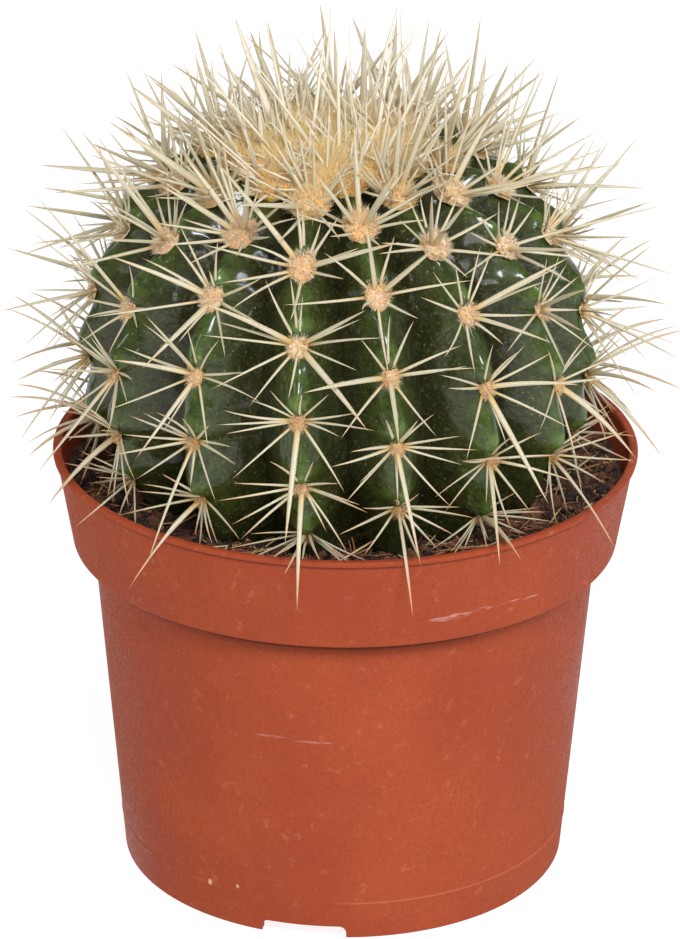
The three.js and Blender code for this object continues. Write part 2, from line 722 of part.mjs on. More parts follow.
// The plain hole that the plant's base and root stand in.
function plantHole() {
  const bottom = -globeRadius(-90) - GAP;
  const profile = HOLE_ROWS.map((elevation) => {
    const radius = globeRadius(elevation) + bulgeLimit(elevation) + GAP * 1.5;
    return [radius * Math.cos(radians(elevation)), radius * Math.sin(radians(elevation))];
  });
  const [, top] = profile[profile.length - 1];
  const hole = latheAboutZ([[0, bottom], ...profile, [0, top]], SOIL_SIDES);
  const toPlant = new THREE.Matrix4().makeBasis(PLANT_RIGHT, PLANT_BACK, PLANT_UP);
  hole.applyMatrix4(toPlant.setPosition(PLANT_CENTRE));
  return solidOf(hole).add(solidOf(latheAboutZ(rootProfile(GAP), ROOT_SIDES)));
}

function makeSoil() {
  const soil = latheAboutZ(soilProfile(), SOIL_SIDES);
  const position = soil.attributes.position;
  for (let i = 0; i < position.count; i += 1) {
    if (position.getZ(i) > SOIL_LEVEL - 0.1) {
      position.setZ(i, SOIL_LEVEL + soilRipple(position.getX(i), position.getY(i)));
    }
  }
  return solidOf(soil).subtract(plantHole());
}

// ---------------------------------------------------------------- the part

function piece(name, solid, color, roughness) {
  const material = new THREE.MeshStandardMaterial({ color, roughness, metalness: 0 });
  const mesh = new THREE.Mesh(geometryOf(solid), material);
  mesh.name = name;
  return mesh;
}

const crown = makeCrown(); // made first, so that the other spines keep clear of its spines
const part = new THREE.Group();
part.add(
  piece("pot", makePot(), 0xb2553a, 0.45),
  piece("soil", makeSoil(), 0x2a1d16, 0.95),
  piece("cactus", makeCactus(), 0x35501f, 0.35),
  piece("crown", crown, 0xdcc79a, 0.7),
);

export default part;
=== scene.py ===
"""Looks of a round cactus with straw-coloured spines, growing in a plastic nursery pot.

Lengths are millimetres until a mesh is made, where they become Blender's metres. The frame is the
CAD model's: +Z up, -Y towards the front, the origin at the middle of the pot's base. A longitude is
0 at the front and grows to the right. Everything random comes from one seeded stream.
"""

import math
from collections import namedtuple

import bmesh
import bpy
import numpy as np
from mathutils import Matrix


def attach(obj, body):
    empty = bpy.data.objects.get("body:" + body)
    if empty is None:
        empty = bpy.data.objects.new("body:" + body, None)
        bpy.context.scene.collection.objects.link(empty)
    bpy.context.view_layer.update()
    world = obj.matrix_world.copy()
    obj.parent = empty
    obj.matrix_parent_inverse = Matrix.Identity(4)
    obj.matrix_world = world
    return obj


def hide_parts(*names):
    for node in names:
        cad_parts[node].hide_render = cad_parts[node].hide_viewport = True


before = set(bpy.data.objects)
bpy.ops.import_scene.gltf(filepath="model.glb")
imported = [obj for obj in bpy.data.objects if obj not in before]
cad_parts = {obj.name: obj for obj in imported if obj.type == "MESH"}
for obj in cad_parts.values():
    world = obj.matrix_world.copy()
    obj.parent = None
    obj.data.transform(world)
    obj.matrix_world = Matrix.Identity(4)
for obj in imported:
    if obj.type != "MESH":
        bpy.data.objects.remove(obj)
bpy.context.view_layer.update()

MM = 0.001
random = np.random.default_rng(1907)

# ---------------------------------------------------------------- camera

PHOTO_SIZE = (680, 939)
FOCAL_PIXELS = 5185
SENSOR = 36
CAMERA_PLACE = np.array([0, -1058.2, 556.4])
CAMERA_PITCH = 23.72  # degrees, downwards
CAMERA_YAW = -0.064
CAMERA_ROLL = 0.348


def unit(vector):
    return vector / np.linalg.norm(vector, axis=-1, keepdims=True)


def camera_axes():
    """The camera's right, up and forward directions."""
    pitch, yaw, roll = np.radians([CAMERA_PITCH, CAMERA_YAW, CAMERA_ROLL])
    flat = math.cos(pitch)
    forward = np.array([math.sin(yaw) * flat, math.cos(yaw) * flat, -math.sin(pitch)])
    level = unit(np.cross(forward, [0, 0, 1]))
    above = np.cross(level, forward)
    right = level * math.cos(roll) + above * math.sin(roll)
    up = above * math.cos(roll) - level * math.sin(roll)
    return right, up, forward


RIGHT, UP, FORWARD = camera_axes()


def sight_line(pixel):
    """The direction from the camera through a pixel of the photograph."""
    across = (pixel[0] - PHOTO_SIZE[0] / 2) / FOCAL_PIXELS
    down = (pixel[1] - PHOTO_SIZE[1] / 2) / FOCAL_PIXELS
    return unit(FORWARD + RIGHT * across - UP * down)


def added(name, data):
    """A new object in the scene."""
    thing = bpy.data.objects.new(name, data)
    bpy.context.scene.collection.objects.link(thing)
    return thing


def placed(data, right, up, back, place):
    """A camera or light in the scene, at a place in metres and turned to three directions."""
    thing = added(data.name, data)
    rows = zip(np.column_stack([right, up, back]), place)
    thing.matrix_world = Matrix([[*row, where] for row, where in rows] + [[0, 0, 0, 1]])
    return thing


def add_camera():
    data = bpy.data.cameras.new("camera")
    data.sensor_width = SENSOR
    data.lens = FOCAL_PIXELS * SENSOR / PHOTO_SIZE[1]
    bpy.context.scene.camera = placed(data, RIGHT, UP, -FORWARD, CAMERA_PLACE * MM)


# ---------------------------------------------------------------- meshes

# A form is a tuple of points in millimetres, a list of face arrays, each with rows of one length,
# and a dictionary of attributes with one number for each point.


def add_mesh(name, form, material, replaced, is_smooth=True):
    points, faces, attributes = form
    mesh = bpy.data.meshes.new(name)
    mesh.vertices.add(len(points))
    mesh.vertices.foreach_set("co", (np.asarray(points, float) * MM).ravel())
    corners = np.concatenate([block.ravel() for block in faces])
    sizes = np.concatenate([np.full(len(block), block.shape[1]) for block in faces])
    mesh.loops.add(len(corners))
    mesh.loops.foreach_set("vertex_index", corners.astype(np.int32))
    mesh.polygons.add(len(sizes))
    starts = np.concatenate([[0], np.cumsum(sizes)[:-1]])
    mesh.polygons.foreach_set("loop_start", starts.astype(np.int32))
    mesh.polygons.foreach_set("use_smooth", np.full(len(sizes), is_smooth))
    for key, values in attributes.items():
        mesh.attributes.new(key, "FLOAT", "POINT").data.foreach_set("value", values.astype(np.float32))
    mesh.update(calc_edges=True)
    mesh.validate()
    return add_piece(name, mesh, material, replaced)


def add_piece(name, mesh, material, replaced):
    mesh.materials.append(material)
    piece = added(name, mesh)
    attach(piece, "root")
    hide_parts(replaced)
    return piece


def ring_faces(rings, sides):
    """Quads between the neighbouring points of rings of points."""
    row, column = np.mgrid[0 : rings - 1, 0:sides]
    here = row * sides + column
    beside = row * sides + (column + 1) % sides
    return np.stack([here, here + sides, beside + sides, beside], axis=-1).reshape(-1, 4)


def spindle_faces(rings, sides):
    """Quads between rings of points, and triangles to a point before them and one after them."""
    first = 1 + np.arange(sides)
    following = 1 + (np.arange(sides) + 1) % sides
    on = (rings - 1) * sides
    start = np.stack([np.zeros(sides, int), following, first], axis=-1)
    end = np.stack([np.full(sides, 1 + rings * sides), first + on, following + on], axis=-1)
    return [1 + ring_faces(rings, sides)[:, ::-1], np.concatenate([start, end])]


def capped_faces(rings, sides):
    """Quads between rings of points, and one face across the first ring and one across the last."""
    first = np.arange(sides)[None, :]
    return [ring_faces(rings, sides)[:, ::-1], first, (rings - 1) * sides + first[:, ::-1]]


def around(count):
    """Angles at equal steps all the way round, in radians."""
    return np.arange(count) * 2 * math.pi / count


def joined(forms):
    """Several forms, which have the same attributes, as one."""
    starts = np.cumsum([0, *[len(points) for points, _, _ in forms]])
    points = np.concatenate([form[0] for form in forms])
    faces = [block + start for form, start in zip(forms, starts) for block in form[1]]
    attributes = {key: np.concatenate([form[2][key] for form in forms]) for key in forms[0][2]}
    return points, faces, attributes


HAIR_TAPER = (1.6, 0.9)


def strands(roots, ways, lengths, radii, bends, sides=3, rings=2, flatness=1, taper=HAIR_TAPER, faced=None):
    """The form of tapered strands, such as spines and hairs.

    A strand runs from its root along its way, and bends aside by its bend times the square of the
    share of its length. A flattened one turns its flat side to where it is faced. The attributes
    are the share of the length and one random tint for each strand."""
    count = len(roots)
    share = np.linspace(0, 1, rings + 1)[None, :, None]
    straight = ways * lengths[:, None]
    middle = roots[:, None] + straight[:, None] * share + bends[:, None] * share**2
    along = unit(straight[:, None] + 2 * bends[:, None] * share)
    helper = unit(random.normal(size=(count, 3))) if faced is None else faced
    side = unit(np.cross(along, helper[:, None]))[:, :-1, None]
    other = np.cross(side, along[:, :-1, None])
    width = (radii[:, None] * (1 - share[0, :, 0] ** taper[0]) ** taper[1])[:, :-1, None]
    angles = around(sides)
    ring = middle[:, :-1, None] + (width * np.cos(angles))[..., None] * side
    ring = ring + (width * flatness * np.sin(angles))[..., None] * other
    points = np.concatenate([middle[:, :1], ring.reshape(count, -1, 3), middle[:, -1:]], axis=1)
    size = points.shape[1]
    offsets = (np.arange(count) * size)[:, None, None]
    faces = [(offsets + block).reshape(-1, block.shape[1]) for block in spindle_faces(rings, sides)]
    shares = np.concatenate([[0], np.repeat(share[0, :-1, 0], sides), [1]])
    tints = random.uniform(0, 1, count)
    return points.reshape(-1, 3), faces, {"along": np.tile(shares, count), "tint": np.repeat(tints, size)}


# ---------------------------------------------------------------- plant: its globe and ribs

PLANT_CENTRE = np.array([-1.8, -2.5, 121.2])
LEAN_RIGHT = -3.2  # degrees
LEAN_BACK = -4.7
EQUATOR_RADIUS = 55.5
TOP_HALF_HEIGHT = 51.3
BOTTOM_HALF_HEIGHT = 45
SQUARENESS = 2.25
RIB_LONGITUDES = [-8, 13.5, 36.5, 60, 82.5, 106, 130, 154, 178, 202, 226, 250, 273, 299.5, 326.5]
CRESTS = [RIB_LONGITUDES[-1] - 360, *RIB_LONGITUDES, RIB_LONGITUDES[0] + 360]  # with one more at each end
RIB_DEPTH = 11.5
RIB_DEPTH_FALL = 1.3
RIB_FADE = (-46, -20)  # elevations between which the ribs fade into the buried base
CREST_ROUNDING = 0.15  # as a share of the way to the groove
NOSE = 1.5  # how far a rib swells above an areole
NOSE_PLACE = 0.74  # where it swells most, as a share of the way down to the next areole
NOTCH = 0.9  # how far it sinks at an areole
NOTCH_WIDTH = 0.3  # as a share of the way to the groove

AREOLE_STEP = 16.6
AREOLE_PHASES = (11.5, 3.2)  # elevation of one areole of a rib, for the ribs in turn
AREOLE_LIMITS = (-24, 72)  # elevations that the areoles below the crown keep to
STAGGER_BREAK = 8  # the ribs are odd in number, so two at the back, from this one on, match
# Elevations of the areoles of the ribs that show in front, from the crown down.
FRONT_AREOLES = {
    0: [63.2, 45.9, 28.1, 11.4, -4.7, -19],
    1: [70, 55.4, 38.1, 20, 3.8, -12.3],
    2: [61.7, 46.1, 29.3, 12.2, -5.7, -22.6],
    3: [69, 55.6, 38.3, 22.1, 3.7, -15.2],
    4: [61.3, 47.7, 31.8, 11.5, -5, -21],
    12: [69.6, 53, 36.4, 19.8, 3.2, -13.4],
    13: [59.5, 43.9, 26.4, 11, -4.5, -17],
    14: [68, 52.4, 36.2, 18.8, 3.3, -12],
}
CROWN_AREOLES = ([71, 78, 83.5], [76.5, 82])  # the youngest ones, for a rib of either phase
YOUNG_ELEVATION = 65  # the areoles above this are the crown's
CROWN_GAP = 5  # elevation between a rib's youngest areoles and the ones below them, at least
AREOLE_LOW, AREOLE_HIGH = -20, 62  # elevations where an areole's growth is 0 and 1
MOST_GROWTH = 1.12

PLANT_UP = unit(np.array([math.sin(math.radians(LEAN_RIGHT)), math.sin(math.radians(LEAN_BACK)), 1]))
PLANT_RIGHT = unit(np.array([1, 0, 0]) - PLANT_UP * PLANT_UP[0])
PLANT_BACK = np.cross(PLANT_UP, PLANT_RIGHT)


def lerp(low, high, share):
    return low + (high - low) * share


def smooth(value, low, high):
    share = np.clip((value - low) / (high - low), 0, 1)
    return share * share * (3 - 2 * share)


def plant_way(longitude, elevation):
    """Unit vectors from the plant's centre at longitudes and elevations, in degrees."""
    longitude, elevation = np.broadcast_arrays(np.radians(longitude), np.radians(elevation))
    right = np.cos(elevation) * np.sin(longitude)
    front = np.cos(elevation) * np.cos(longitude)
    up = np.sin(elevation)
    return right[..., None] * PLANT_RIGHT - front[..., None] * PLANT_BACK + up[..., None] * PLANT_UP


def globe_radius(elevation):
    half_height = np.where(np.asarray(elevation) > 0, TOP_HALF_HEIGHT, BOTTOM_HALF_HEIGHT)
    across = np.abs(np.cos(np.radians(elevation))) / EQUATOR_RADIUS
    upward = np.abs(np.sin(np.radians(elevation))) / half_height
    return (across**SQUARENESS + upward**SQUARENESS) ** (-1 / SQUARENESS)


def is_offset(rib):
    return rib % 2 == (1 if rib < STAGGER_BREAK else 0)


def old_areoles(rib):
    """Elevations of a rib's areoles below the crown, from the top."""
    if rib in FRONT_AREOLES:
        return FRONT_AREOLES[rib]
    steps = AREOLE_PHASES[is_offset(rib)] + np.arange(4, -3, -1) * AREOLE_STEP
    return [float(step) for step in steps if AREOLE_LIMITS[0] < step < AREOLE_LIMITS[1]]


def areole_elevations(rib):
    top = old_areoles(rib)
    return [e for e in CROWN_AREOLES[is_offset(rib)][::-1] if e > top[0] + CROWN_GAP] + top


def nose_height(rib, elevation):
    """How much a rib swells at an elevation, from 0 at an areole to 1 on the nose above it."""
    marks = np.array([95, *areole_elevations(rib), -40, -60], float)[::-1]
    index = np.clip(np.searchsorted(marks, elevation, side="right"), 1, len(marks) - 1)
    share = (marks[index] - elevation) / (marks[index] - marks[index - 1])
    return np.sin(math.pi * np.clip(share, 0, 1) ** (math.log(0.5) / math.log(NOSE_PLACE))) ** 2


def skin_radius(rib, off_crest, elevation):
    """Distance from the centre to the skin. off_crest is 0 on the crest and 1 or -1 in a groove."""
    present = smooth(elevation, *RIB_FADE)
    depth = RIB_DEPTH * np.cos(np.radians(elevation)) ** RIB_DEPTH_FALL * present
    nose = nose_height(rib, elevation)
    reach = present * np.cos(np.radians(elevation)) ** 0.5
    across = np.abs(off_crest)
    ridge = np.hypot(across, CREST_ROUNDING) - CREST_ROUNDING
    sunk = depth * ridge / (math.hypot(1, CREST_ROUNDING) - CREST_ROUNDING)
    swollen = NOSE * nose * reach * (1 - across) ** 1.3
    notched = NOTCH * reach * (1 - nose) ** 6 * np.exp(-((across / NOTCH_WIDTH) ** 2))
    return globe_radius(elevation) - sunk + swollen - notched


class Areole:
    """A woolly pad on a rib: where it sits, and which ways are out, up and right of it."""

    def __init__(self, rib, elevation):
        self.rib = rib
        self.elevation = elevation
        self.longitude = RIB_LONGITUDES[rib]
        self.centre = self.point(elevation)
        self.up = unit(self.point(elevation + 1) - self.point(elevation - 1))
        self.right = plant_way(self.longitude + 90, 0)
        self.out = np.cross(self.right, self.up)
        growth = np.clip((elevation - AREOLE_LOW) / (AREOLE_HIGH - AREOLE_LOW), 0, MOST_GROWTH)
        self.half_width = 1.25 + 3.0 * growth**2.2
        self.half_height = self.half_width * (1.5 - 0.4 * growth)
        self.height = 0.35 + 0.34 * self.half_width
        self.youth = elevation / 90
        self.is_young = elevation > YOUNG_ELEVATION

    def point(self, elevation):
        radius = globe_radius(elevation) - NOTCH * 0.6
        return PLANT_CENTRE + plant_way(self.longitude, elevation) * radius

    def way(self, angle, tilt):
        """A direction at an angle from up, to the right, and a tilt out of the skin, in degrees."""
        angle, tilt = np.radians(angle), np.radians(tilt)
        flat = self.up * math.cos(angle) + self.right * math.sin(angle)
        return flat * math.cos(tilt) + self.out * math.sin(tilt)

    def spots(self, across, along, out):
        """Points at distances to the right, upwards and outwards from the areole's centre."""
        flat = across[..., None] * self.right + along[..., None] * self.up
        return self.centre + flat + out[..., None] * self.out


AREOLES = [Areole(rib, e) for rib in range(len(RIB_LONGITUDES)) for e in areole_elevations(rib)]


# ---------------------------------------------------------------- pot and soil: sizes

POT_RADII = (49.8, 56.3)  # outside, at the foot and under the collar
COLLAR_RADII = (60.8, 64.3)
COLLAR_Z = (76.4, 97.2)
LIP_RADIUS = 65
RIM_Z = 98.4
RIM_INNER_RADIUS = 63
BEVEL = 0.4  # of the rim and the collar
LIP_BEVEL = 0.35
FOOT_BEVEL = 0.5
WALL = 1.3
LEDGE_Z = COLLAR_Z[0] + WALL  # inside, under the collar
FOOT_INNER_RADIUS = 46.8
FOOT_OUTER_RADIUS = 49.4
FLOOR_Z = (4, 5.6)
SEAM_Z = 9  # the faint line that the mould left round the foot
SEAM_STEPS = [(-0.04, -0.45), (0.16, 0), (0.03, 0.3)]  # outwards and upwards, along its profile
POT_SIDES = 256
NOTCH_COUNT = 3
NOTCH_LONGITUDE = -10
NOTCH_SIZE = (19, 3.1)
NOTCH_ROUNDING = 1.6
DRAIN_COUNT = 6
DRAIN_RADIUS = 4
DRAIN_RING_RADIUS = 33

SOIL_Z = 91.6
SOIL_GAP = 0.35  # between the soil's edge and the wall
SOIL_SIDES = 360
LITTER_START = 47  # radius from which crumbs and fibres lie on the soil
FALLEN_START = 48


def body_radius(z):
    return lerp(*POT_RADII, z / COLLAR_Z[0])


def collar_radius(z):
    return lerp(*COLLAR_RADII, (z - COLLAR_Z[0]) / (COLLAR_Z[1] - COLLAR_Z[0]))


def soil_edge(z):
    """The pot's inner radius at a height above its ledge."""
    share = (z - LEDGE_Z) / (RIM_Z - BEVEL - LEDGE_Z)
    return lerp(collar_radius(LEDGE_Z) - WALL, RIM_INNER_RADIUS, share)


def soil_height(x, y):
    ripple = np.sin(0.31 * x + 1) * np.cos(0.27 * y) + np.sin(0.13 * x - 0.41 * y)
    return SOIL_Z + 0.4 * ripple


def uneven(x, y):
    """Random-looking unevenness, from -1 to 1, of crumbs a few millimetres across."""
    coarse = np.sin(1.1 * x + 2 * np.sin(0.7 * y)) * np.cos(1.3 * y + np.sin(0.9 * x))
    fine = np.sin(2.9 * x + 1.7 * np.cos(2.3 * y)) * np.cos(3.1 * y + 1.4 * np.sin(2.6 * x))
    return 0.6 * coarse + 0.4 * fine


def ground_height(points):
    """The height that a spine must stay above: the soil's, or the pot's rim's."""
    radius = np.hypot(points[..., 0], points[..., 1])
    on_rim = (radius > RIM_INNER_RADIUS - 1) & (radius < LIP_RADIUS + 1)
    height = np.where(on_rim, RIM_Z + 0.9, soil_height(points[..., 0], points[..., 1]) + 1)
    return np.where(radius > LIP_RADIUS + 1, 0, height)


# ---------------------------------------------------------------- spines

# Where the photograph shows the tips of an areole's thick and thin spines, in pixels. An areole is
# named by its rib and its place on the rib, counted from the top one of FRONT_AREOLES.
SPINE_TIPS = {
    (0, 0): ([(235, 205), (268, 134)], [(262, 190), (277, 243), (340, 240), (227, 166)]),
    (0, 1): ([(215, 160), (401, 242)], [
        (254, 204), (296, 200), (302, 205), (321, 222), (340, 215), (243, 243), (201, 244), (219, 283),
        (228, 312), (359, 248), (344, 279),
    ]),
    (0, 2): ([(201, 303), (366, 310), (367, 430)], [
        (290, 275), (265, 279), (303, 295), (214, 321), (200, 335), (210, 390), (361, 319), (383, 338),
        (288, 400),
    ]),
    (0, 3): ([(285, 545)], [
        (222, 410), (215, 425), (225, 434), (231, 480), (345, 493), (376, 431), (340, 437), (356, 413),
        (250, 400), (270, 390),
    ]),
    (0, 4): ([(297, 612)], [
        (232, 483), (216, 501), (231, 525), (240, 540), (327, 533), (349, 556), (360, 505), (368, 513),
        (269, 461),
    ]),
    (0, 5): ([], [(250, 534), (276, 555), (350, 560), (340, 558), (320, 560), (284, 575)]),
    (1, 1): ([(354, 118), (311, 169), (398, 168)], [
        (298, 198), (291, 212), (428, 189), (428, 220), (418, 204),
    ]),
    (1, 2): ([(365, 220), (440, 244)], [
        (323, 252), (395, 235), (475, 280), (389, 375), (282, 305), (362, 310), (419, 319),
    ]),
    (1, 3): ([(303, 393), (399, 445)], [
        (360, 338), (338, 382), (437, 437), (340, 440), (468, 366), (478, 368), (462, 345), (414, 320),
        (390, 315),
    ]),
    (1, 4): ([(421, 567)], [
        (350, 452), (330, 467), (345, 503), (359, 483), (398, 505), (463, 465), (452, 508), (461, 436),
        (480, 450), (418, 420),
    ]),
    (1, 5): ([(413, 618)], [
        (362, 508), (338, 535), (361, 559), (441, 553), (456, 536), (461, 507), (475, 518),
    ]),
    (2, 1): ([(432, 195), (470, 200)], [
        (399, 220), (410, 200), (420, 195), (500, 212), (380, 243), (378, 254), (468, 278),
    ]),
    (2, 2): ([(570, 257), (552, 343)], [
        (420, 297), (433, 272), (481, 245), (493, 247), (562, 265), (550, 280), (504, 345),
    ]),
    (2, 3): ([(580, 385), (549, 505)], [
        (448, 388), (440, 375), (493, 345), (525, 345), (521, 350), (553, 352), (573, 430), (466, 461),
        (507, 447),
    ]),
    (2, 4): ([(500, 567)], [
        (462, 461), (434, 498), (445, 512), (486, 505), (533, 515), (575, 482), (560, 455), (515, 435),
    ]),
    (2, 5): ([(521, 560)], [(430, 550), (450, 553), (487, 548), (560, 523), (550, 512), (515, 493)]),
    (3, 2): ([(590, 250)], [
        (462, 277), (470, 232), (480, 215), (499, 200), (520, 195), (535, 205), (575, 285),
    ]),
    (3, 3): ([(585, 290), (582, 331)], [
        (547, 258), (568, 262), (580, 275), (582, 310), (507, 352), (566, 370), (598, 352),
    ]),
    (3, 4): ([(637, 460)], [(612, 420), (540, 430), (610, 378), (618, 355), (548, 350)]),
    (3, 5): ([(615, 548)], [(630, 430), (638, 460), (610, 487), (463, 461), (545, 500)]),
    (4, 1): ([(615, 165)], [(600, 130), (605, 148), (565, 117), (540, 68), (527, 62), (517, 68)]),
    (4, 2): ([(622, 160), (636, 237), (675, 275)], [
        (596, 137), (612, 137), (614, 163), (661, 206), (604, 221), (620, 263),
    ]),
    (4, 3): ([(655, 243), (680, 360)], [(655, 277), (650, 306), (618, 317), (678, 345), (640, 401)]),
    (4, 5): ([], [(610, 415), (636, 436), (635, 463)]),
    (12, 1): ([(52, 193)], [(89, 154), (127, 97), (163, 97), (179, 105)]),
    (12, 2): ([(30, 244)], [(57, 248)]),
    (12, 3): ([(2, 311)], [(30, 290), (42, 352)]),
    (13, 1): ([(104, 200), (82, 132), (98, 240)], [
        (97, 136), (60, 270), (155, 190), (178, 195), (188, 200),
    ]),
    (13, 2): ([(38, 198)], [
        (60, 222), (32, 232), (80, 298), (82, 318), (77, 345), (108, 355), (137, 328), (145, 308),
    ]),
    (13, 3): ([(38, 472)], [
        (100, 345), (80, 345), (80, 365), (93, 418), (110, 425), (127, 403), (132, 380),
    ]),
    (13, 4): ([(48, 505)], [(60, 438), (68, 482), (129, 508), (135, 480)]),
    (13, 5): ([], [(98, 477), (75, 527), (100, 465)]),
    (14, 1): ([(180, 150), (248, 160), (158, 184)], [
        (203, 120), (222, 140), (196, 134), (152, 174), (180, 218), (150, 222), (298, 218), (260, 186),
        (294, 194),
    ]),
    (14, 2): ([(106, 255), (142, 369)], [
        (140, 257), (178, 222), (172, 240), (209, 270), (218, 240), (85, 318), (177, 344), (225, 357),
        (262, 278), (265, 327),
    ]),
    (14, 3): ([(146, 316), (112, 360), (135, 460)], [
        (142, 323), (122, 347), (187, 328), (219, 340), (245, 372), (260, 402), (105, 411), (162, 434),
        (208, 450),
    ]),
    (14, 4): ([(147, 565)], [
        (128, 415), (142, 412), (155, 412), (120, 434), (107, 456), (135, 480), (190, 488), (216, 503),
        (231, 447), (236, 465), (209, 425), (182, 418),
    ]),
    (14, 5): ([(128, 590)], [
        (135, 491), (142, 484), (120, 515), (170, 525), (195, 535), (218, 545), (240, 540),
    ]),
}
# Tips of the long spines that stand up round the crown, which hides the areoles that bear them.
CROWN_TIPS = [
    (162, 80), (183, 62), (195, 65), (203, 60), (216, 45), (183, 108), (120, 121), (233, 33), (245, 55),
    (265, 17), (291, 30), (310, 30), (331, 5), (326, 25), (337, 35), (349, 18), (368, 57), (400, 8),
    (394, 25), (418, 22), (415, 28), (436, 52), (446, 65), (452, 62), (457, 73), (489, 70),
]
WIDE_CROWN_TIPS = [(108, 121), (235, 18), (365, 22), (398, 5), (511, 59), (537, 57)]
CROWN_RADII, WIDE_CROWN_RADII = (0.42, 0.6), (0.7, 0.84)
CROWN_LENGTH, CROWN_TILT = 28, 58
CROWN_BEARERS = 52  # elevation from which an areole may bear them

# The two kinds of spines: their usual tilt out of the skin, length and radius, how far out on the
# areole they root, as a share of its half width, how much they wander, and how fine their mesh is.
Kind = namedtuple("Kind", "tilt length radius spread wander sides rings flatness")
THICK = Kind(tilt=42, length=27, radius=0.55, spread=0.2, wander=0.6, sides=6, rings=8, flatness=0.55)
THIN = Kind(tilt=27, length=18, radius=0.34, spread=0.55, wander=0.9, sides=5, rings=6, flatness=0.75)
# A whole star, as angles round the areole from up and tilts out of the skin, in degrees.
THICK_STAR = [(180, 38), (76, 44), (-78, 42), (2, 62)]
THIN_STAR = [
    (14, 36), (-20, 32), (48, 27), (-50, 29), (78, 24), (-80, 24), (108, 24), (-106, 26), (140, 27),
    (-144, 28), (174, 26),
]
APART = 24  # degrees that a spine of the star keeps from one seen in the photograph
STAR_STRAY = (7, 4)  # how much the star's angles and tilts vary
STAR_LENGTHS = (0.82, 1.08)  # as shares of a kind's usual length
STAR_RISE = 30  # how much steeper a star near the crown stands
STEEPEST = 84
SPINE_TAPER = (2.4, 0.9)
SPINE_FACING = 0.25  # how much the flat sides of spines stray from facing outwards
RADIUS_SHARES = (0.88, 1.12)  # how much radii vary, as shares of a kind's usual radius
UPPER_GIRTH = 1.3  # how much stouter the spines of the upper areoles are
YOUNG_COUNTS = (10, 4)  # lower down and near the growing point
YOUNG_LENGTHS = (9, 17)
YOUNG_TILTS = (8, 74)
YOUNG_RADII = (0.28, 0.46)
THIN_SAG, THICK_SAG = 0.2, (0.9, 6.5)  # the thick ones sag more near the soil
MAIN_ANGLE = 128  # a thick spine that points down more than this is the areole's thickest
MAIN_GIRTH = 1.2
SPINE_REACH = 75  # from the pot's axis
SPINE_TOP = 203
CLEAR_SHARES = np.linspace(0.3, 1, 18)[:, None, None]  # where a spine is kept clear of the rest
CLEARANCE = 0.8  # between a spine and the globe


def depth_inside(points):
    """How far points lie inside the plant, the soil or the pot's rim, or outside the spines' reach."""
    away = points - PLANT_CENTRE
    distance = np.linalg.norm(away, axis=-1)
    elevation = np.degrees(np.arcsin(np.clip(away @ PLANT_UP / distance, -1, 1)))
    in_plant = globe_radius(elevation) + CLEARANCE - distance
    in_ground = ground_height(points) - points[..., 2]
    too_wide = np.hypot(points[..., 0], points[..., 1]) - SPINE_REACH
    beyond = np.maximum(too_wide, points[..., 2] - SPINE_TOP)
    return np.maximum(np.maximum(in_plant, in_ground), np.maximum(beyond, 0))


def aimed_tip(areole, pixel, length, tilt):
    """The point seen at a pixel whose spine comes closest to a length and tilt, and how badly it fits."""
    line = sight_line(pixel)
    nearest = (areole.centre - CAMERA_PLACE) @ line
    tips = CAMERA_PLACE + line * (nearest + np.arange(-40, 41))[:, None]
    spines = tips - areole.centre
    reach = np.linalg.norm(spines, axis=1)
    tilts = np.degrees(np.arcsin(spines @ areole.out / reach))
    inside = depth_inside(areole.centre + spines * CLEAR_SHARES).max(axis=0)
    cost = ((reach - length) / 5) ** 2 + ((tilts - tilt) / 14) ** 2 + 14 * np.maximum(inside, 0)
    best = np.argmin(cost)
    return tips[best], cost[best]


def angle_round(areole, tip):
    away = tip - areole.centre
    return math.degrees(math.atan2(away @ areole.right, away @ areole.up))


class Spine:
    """One spine from an areole to its tip, with a radius and the way that its tip is bent."""

    def __init__(self, areole, tip, radius, kind):
        self.areole = areole
        self.tip = tip
        self.kind = kind
        sideways = tip - areole.centre
        sideways = unit(sideways - areole.out * (sideways @ areole.out))
        self.foot = areole.centre + sideways * (areole.half_width * kind.spread) - areole.out * 0.3
        is_main = kind is THICK and abs(angle_round(areole, tip)) > MAIN_ANGLE
        self.radius = radius * (MAIN_GIRTH if is_main else 1)
        sag = lerp(*THICK_SAG, smooth(areole.elevation, 20, -10)) if kind is THICK else THIN_SAG
        self.bend = random.normal(0, kind.wander, 3) - PLANT_UP * sag
        self.arch()

    def arch(self):
        """Bends the spine more where the soil or the rim would be in its way."""
        share = CLEAR_SHARES[:, 0]
        for _ in range(10):
            path = self.foot + (self.tip - self.foot) * share + self.bend * (share**2 - share)
            sunk = (ground_height(path) - path[:, 2]).max()
            if sunk <= 0:
                break
            self.bend = self.bend - [0, 0, 0.3 + 1.5 * min(sunk, 1)]


def lifted(foot, tip):
    """A tip moved up and outwards until the spine clears the plant, the soil and the rim."""
    for _ in range(24):
        inside = depth_inside(foot + (tip - foot) * CLEAR_SHARES).max()
        if inside <= 0:
            break
        outwards = unit((foot - PLANT_CENTRE) * [1, 1, 0])
        tip = tip + [0, 0, 0.9] + outwards * 0.35
        inwards = min(1, SPINE_REACH / math.hypot(tip[0], tip[1]))
        tip = tip * [inwards, inwards, 1]
        tip[2] = min(tip[2], SPINE_TOP)
    return tip


def usual_radius(areole, kind):
    """A spine's radius, which varies a little and is larger on the upper areoles."""
    girth = lerp(1, UPPER_GIRTH, smooth(areole.elevation, 25, 55))
    return kind.radius * random.uniform(*RADIUS_SHARES) * girth


